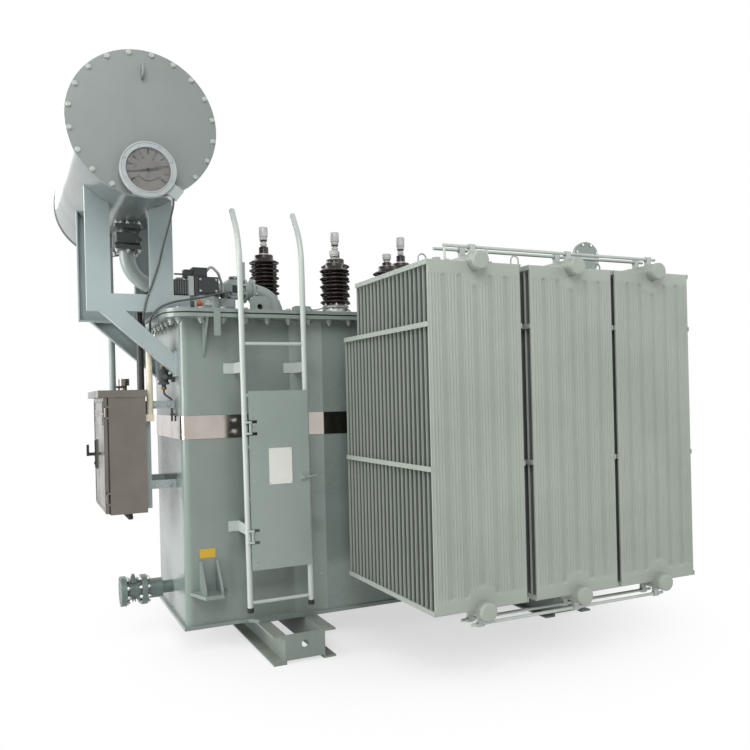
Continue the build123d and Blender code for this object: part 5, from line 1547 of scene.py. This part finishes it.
@dataclass
class Studio:
    """Pale floor, even light and a camera where the photograph's stood."""

    eye: tuple[float, float, float] = (-2315.4, -4779.8, 1445.8)
    yaw: float = 0.4387
    pitch: float = -0.0022
    roll: float = -0.0244
    focal_px: float = 762.55
    centre_px: float = 399.06
    sensor_mm: float = 36.0
    floor_half: float = 60000.0
    fade_from: float = 900.0
    fade_to: float = 2300.0
    least_white: float = 0.62
    white: str = "FFFFFF"
    sky: float = 0.55
    aim_height: float = 1.4
    lamps: tuple[Lamp, ...] = (
        Lamp("key", (-3.5, -7.2, 7.0), 5.0, 460.0),
        Lamp("fill", (7.5, -6.0, 5.0), 5.0, 125.0),
        Lamp("left", (-8.5, -0.6, 2.6), 4.0, 400.0),
        Lamp("back", (-3.0, 7.0, 6.5), 5.0, 260.0))

    def camera(self) -> None:
        """Place the camera."""
        data = bpy.data.cameras.new("camera")
        data.sensor_width = self.sensor_mm
        data.lens = self.focal_px / PHOTO_SIDE * self.sensor_mm
        data.shift_y = (self.centre_px - PHOTO_SIDE / 2) / PHOTO_SIDE
        data.clip_end = 200
        made = bpy.data.objects.new("camera", data)
        bpy.context.scene.collection.objects.link(made)
        ahead = Vector((math.sin(self.yaw) * math.cos(self.pitch), math.cos(self.yaw) * math.cos(self.pitch),
                        math.sin(self.pitch)))
        right = Vector((math.cos(self.yaw), -math.sin(self.yaw), 0))
        up = right.cross(ahead)
        level = right * math.cos(self.roll) + up * math.sin(self.roll)
        upright = up * math.cos(self.roll) - right * math.sin(self.roll)
        turn = Matrix((level, upright, -ahead)).transposed().to_4x4()
        made.matrix_world = Matrix.Translation(Vector(self.eye) * MM) @ turn
        bpy.context.scene.camera = made

    def direct_rays(self, tree: bpy.types.NodeTree) -> bpy.types.NodeSocket:
        """1 for rays from the camera, and for what metal and glass show, else 0."""
        seen = add_node(tree, "ShaderNodeLightPath")
        share = seen.outputs["Is Camera Ray"]
        for name in ("Is Glossy Ray", "Is Transmission Ray"):
            share = add_node(tree, "ShaderNodeMath", {"operation": "MAXIMUM"},
                             {0: share, 1: seen.outputs[name]}).outputs[0]
        return share

    def floor(self) -> None:
        """Lay a pale floor that fades into the background."""
        sketch = Sketch()
        half = self.floor_half
        corners = [sketch.mesh.verts.new(p) for p in ((-half, -half, 0), (half, -half, 0), (half, half, 0),
                                                      (-half, half, 0))]
        sketch.mesh.faces.new(corners)
        bmesh.ops.scale(sketch.mesh, vec=(MM, MM, MM), verts=sketch.mesh.verts)
        data = bpy.data.meshes.new("floor")
        sketch.mesh.to_mesh(data)
        sketch.mesh.free()
        material = bpy.data.materials.new("pale_floor")
        material.use_nodes = True
        tree = material.node_tree
        tree.nodes.clear()
        place = add_node(tree, "ShaderNodeTexCoord").outputs["Object"]
        speckle = blotches(tree, place, 900.0, 4.0)
        colour = blend_colours(tree, speckle, linear("F2F2EF"), linear("ECECE9"))
        matt = add_node(tree, "ShaderNodeBsdfDiffuse", None, {"Color": colour})
        away = add_node(tree, "ShaderNodeVectorMath", {"operation": "LENGTH"}, {0: place})
        fade = {"interpolation_type": "SMOOTHSTEP", "From Min": self.fade_from * MM,
                "From Max": self.fade_to * MM, "To Min": self.least_white}
        far = add_node(tree, "ShaderNodeMapRange", fade, {"Value": away.outputs["Value"]})
        shown = add_node(tree, "ShaderNodeMath", {"operation": "MULTIPLY"},
                         {0: far.outputs["Result"], 1: self.direct_rays(tree)})
        bright = add_node(tree, "ShaderNodeEmission", {"Color": linear(self.white), "Strength": 1.0})
        faded = add_node(tree, "ShaderNodeMixShader", None,
                         {0: shown.outputs[0], 1: matt.outputs[0], 2: bright.outputs[0]})
        add_node(tree, "ShaderNodeOutputMaterial", links={"Surface": faded.outputs[0]})
        data.materials.append(material)
        made = bpy.data.objects.new("floor", data)
        bpy.context.scene.collection.objects.link(made)

    def light(self) -> None:
        """Set a white world and the soft lamps."""
        world = bpy.data.worlds.new("studio")
        bpy.context.scene.world = world
        world.use_nodes = True
        tree = world.node_tree
        tree.nodes.clear()
        soft = add_node(tree, "ShaderNodeBackground", {"Color": linear("F6F8FA"), "Strength": self.sky})
        bright = add_node(tree, "ShaderNodeBackground", {"Color": linear(self.white), "Strength": 1.0})
        mixed = add_node(tree, "ShaderNodeMixShader", None,
                         {0: self.direct_rays(tree), 1: soft.outputs[0], 2: bright.outputs[0]})
        add_node(tree, "ShaderNodeOutputWorld", links={"Surface": mixed.outputs[0]})
        for lamp in self.lamps:
            data = bpy.data.lights.new(lamp.name, "AREA")
            data.size, data.energy = lamp.side, lamp.power
            made = bpy.data.objects.new(lamp.name, data)
            made.location = lamp.spot
            made.rotation_mode = "QUATERNION"
            aim = Vector(lamp.spot) - Vector((0, 0, self.aim_height))
            made.rotation_quaternion = aim.to_track_quat("Z", "Y")
            bpy.context.scene.collection.objects.link(made)

    def build(self) -> None:
        """Set up the whole studio."""
        bpy.context.scene.view_settings.view_transform = "Standard"
        self.camera()
        self.floor()
        self.light()


def main() -> None:
    """Build every sub-assembly in order."""
    logging.basicConfig(level=logging.INFO, format="%(message)s")
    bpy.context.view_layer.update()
    for part in (Studio(), Tank(), RadiatorBank(), Conservator(), BushingRows(), TapChanger(), OilLine(),
                 ControlCabinet(), Ladder()):
        LOG.info("building %s", type(part).__name__)
        part.build()


if __name__ == "__main__":
    main()
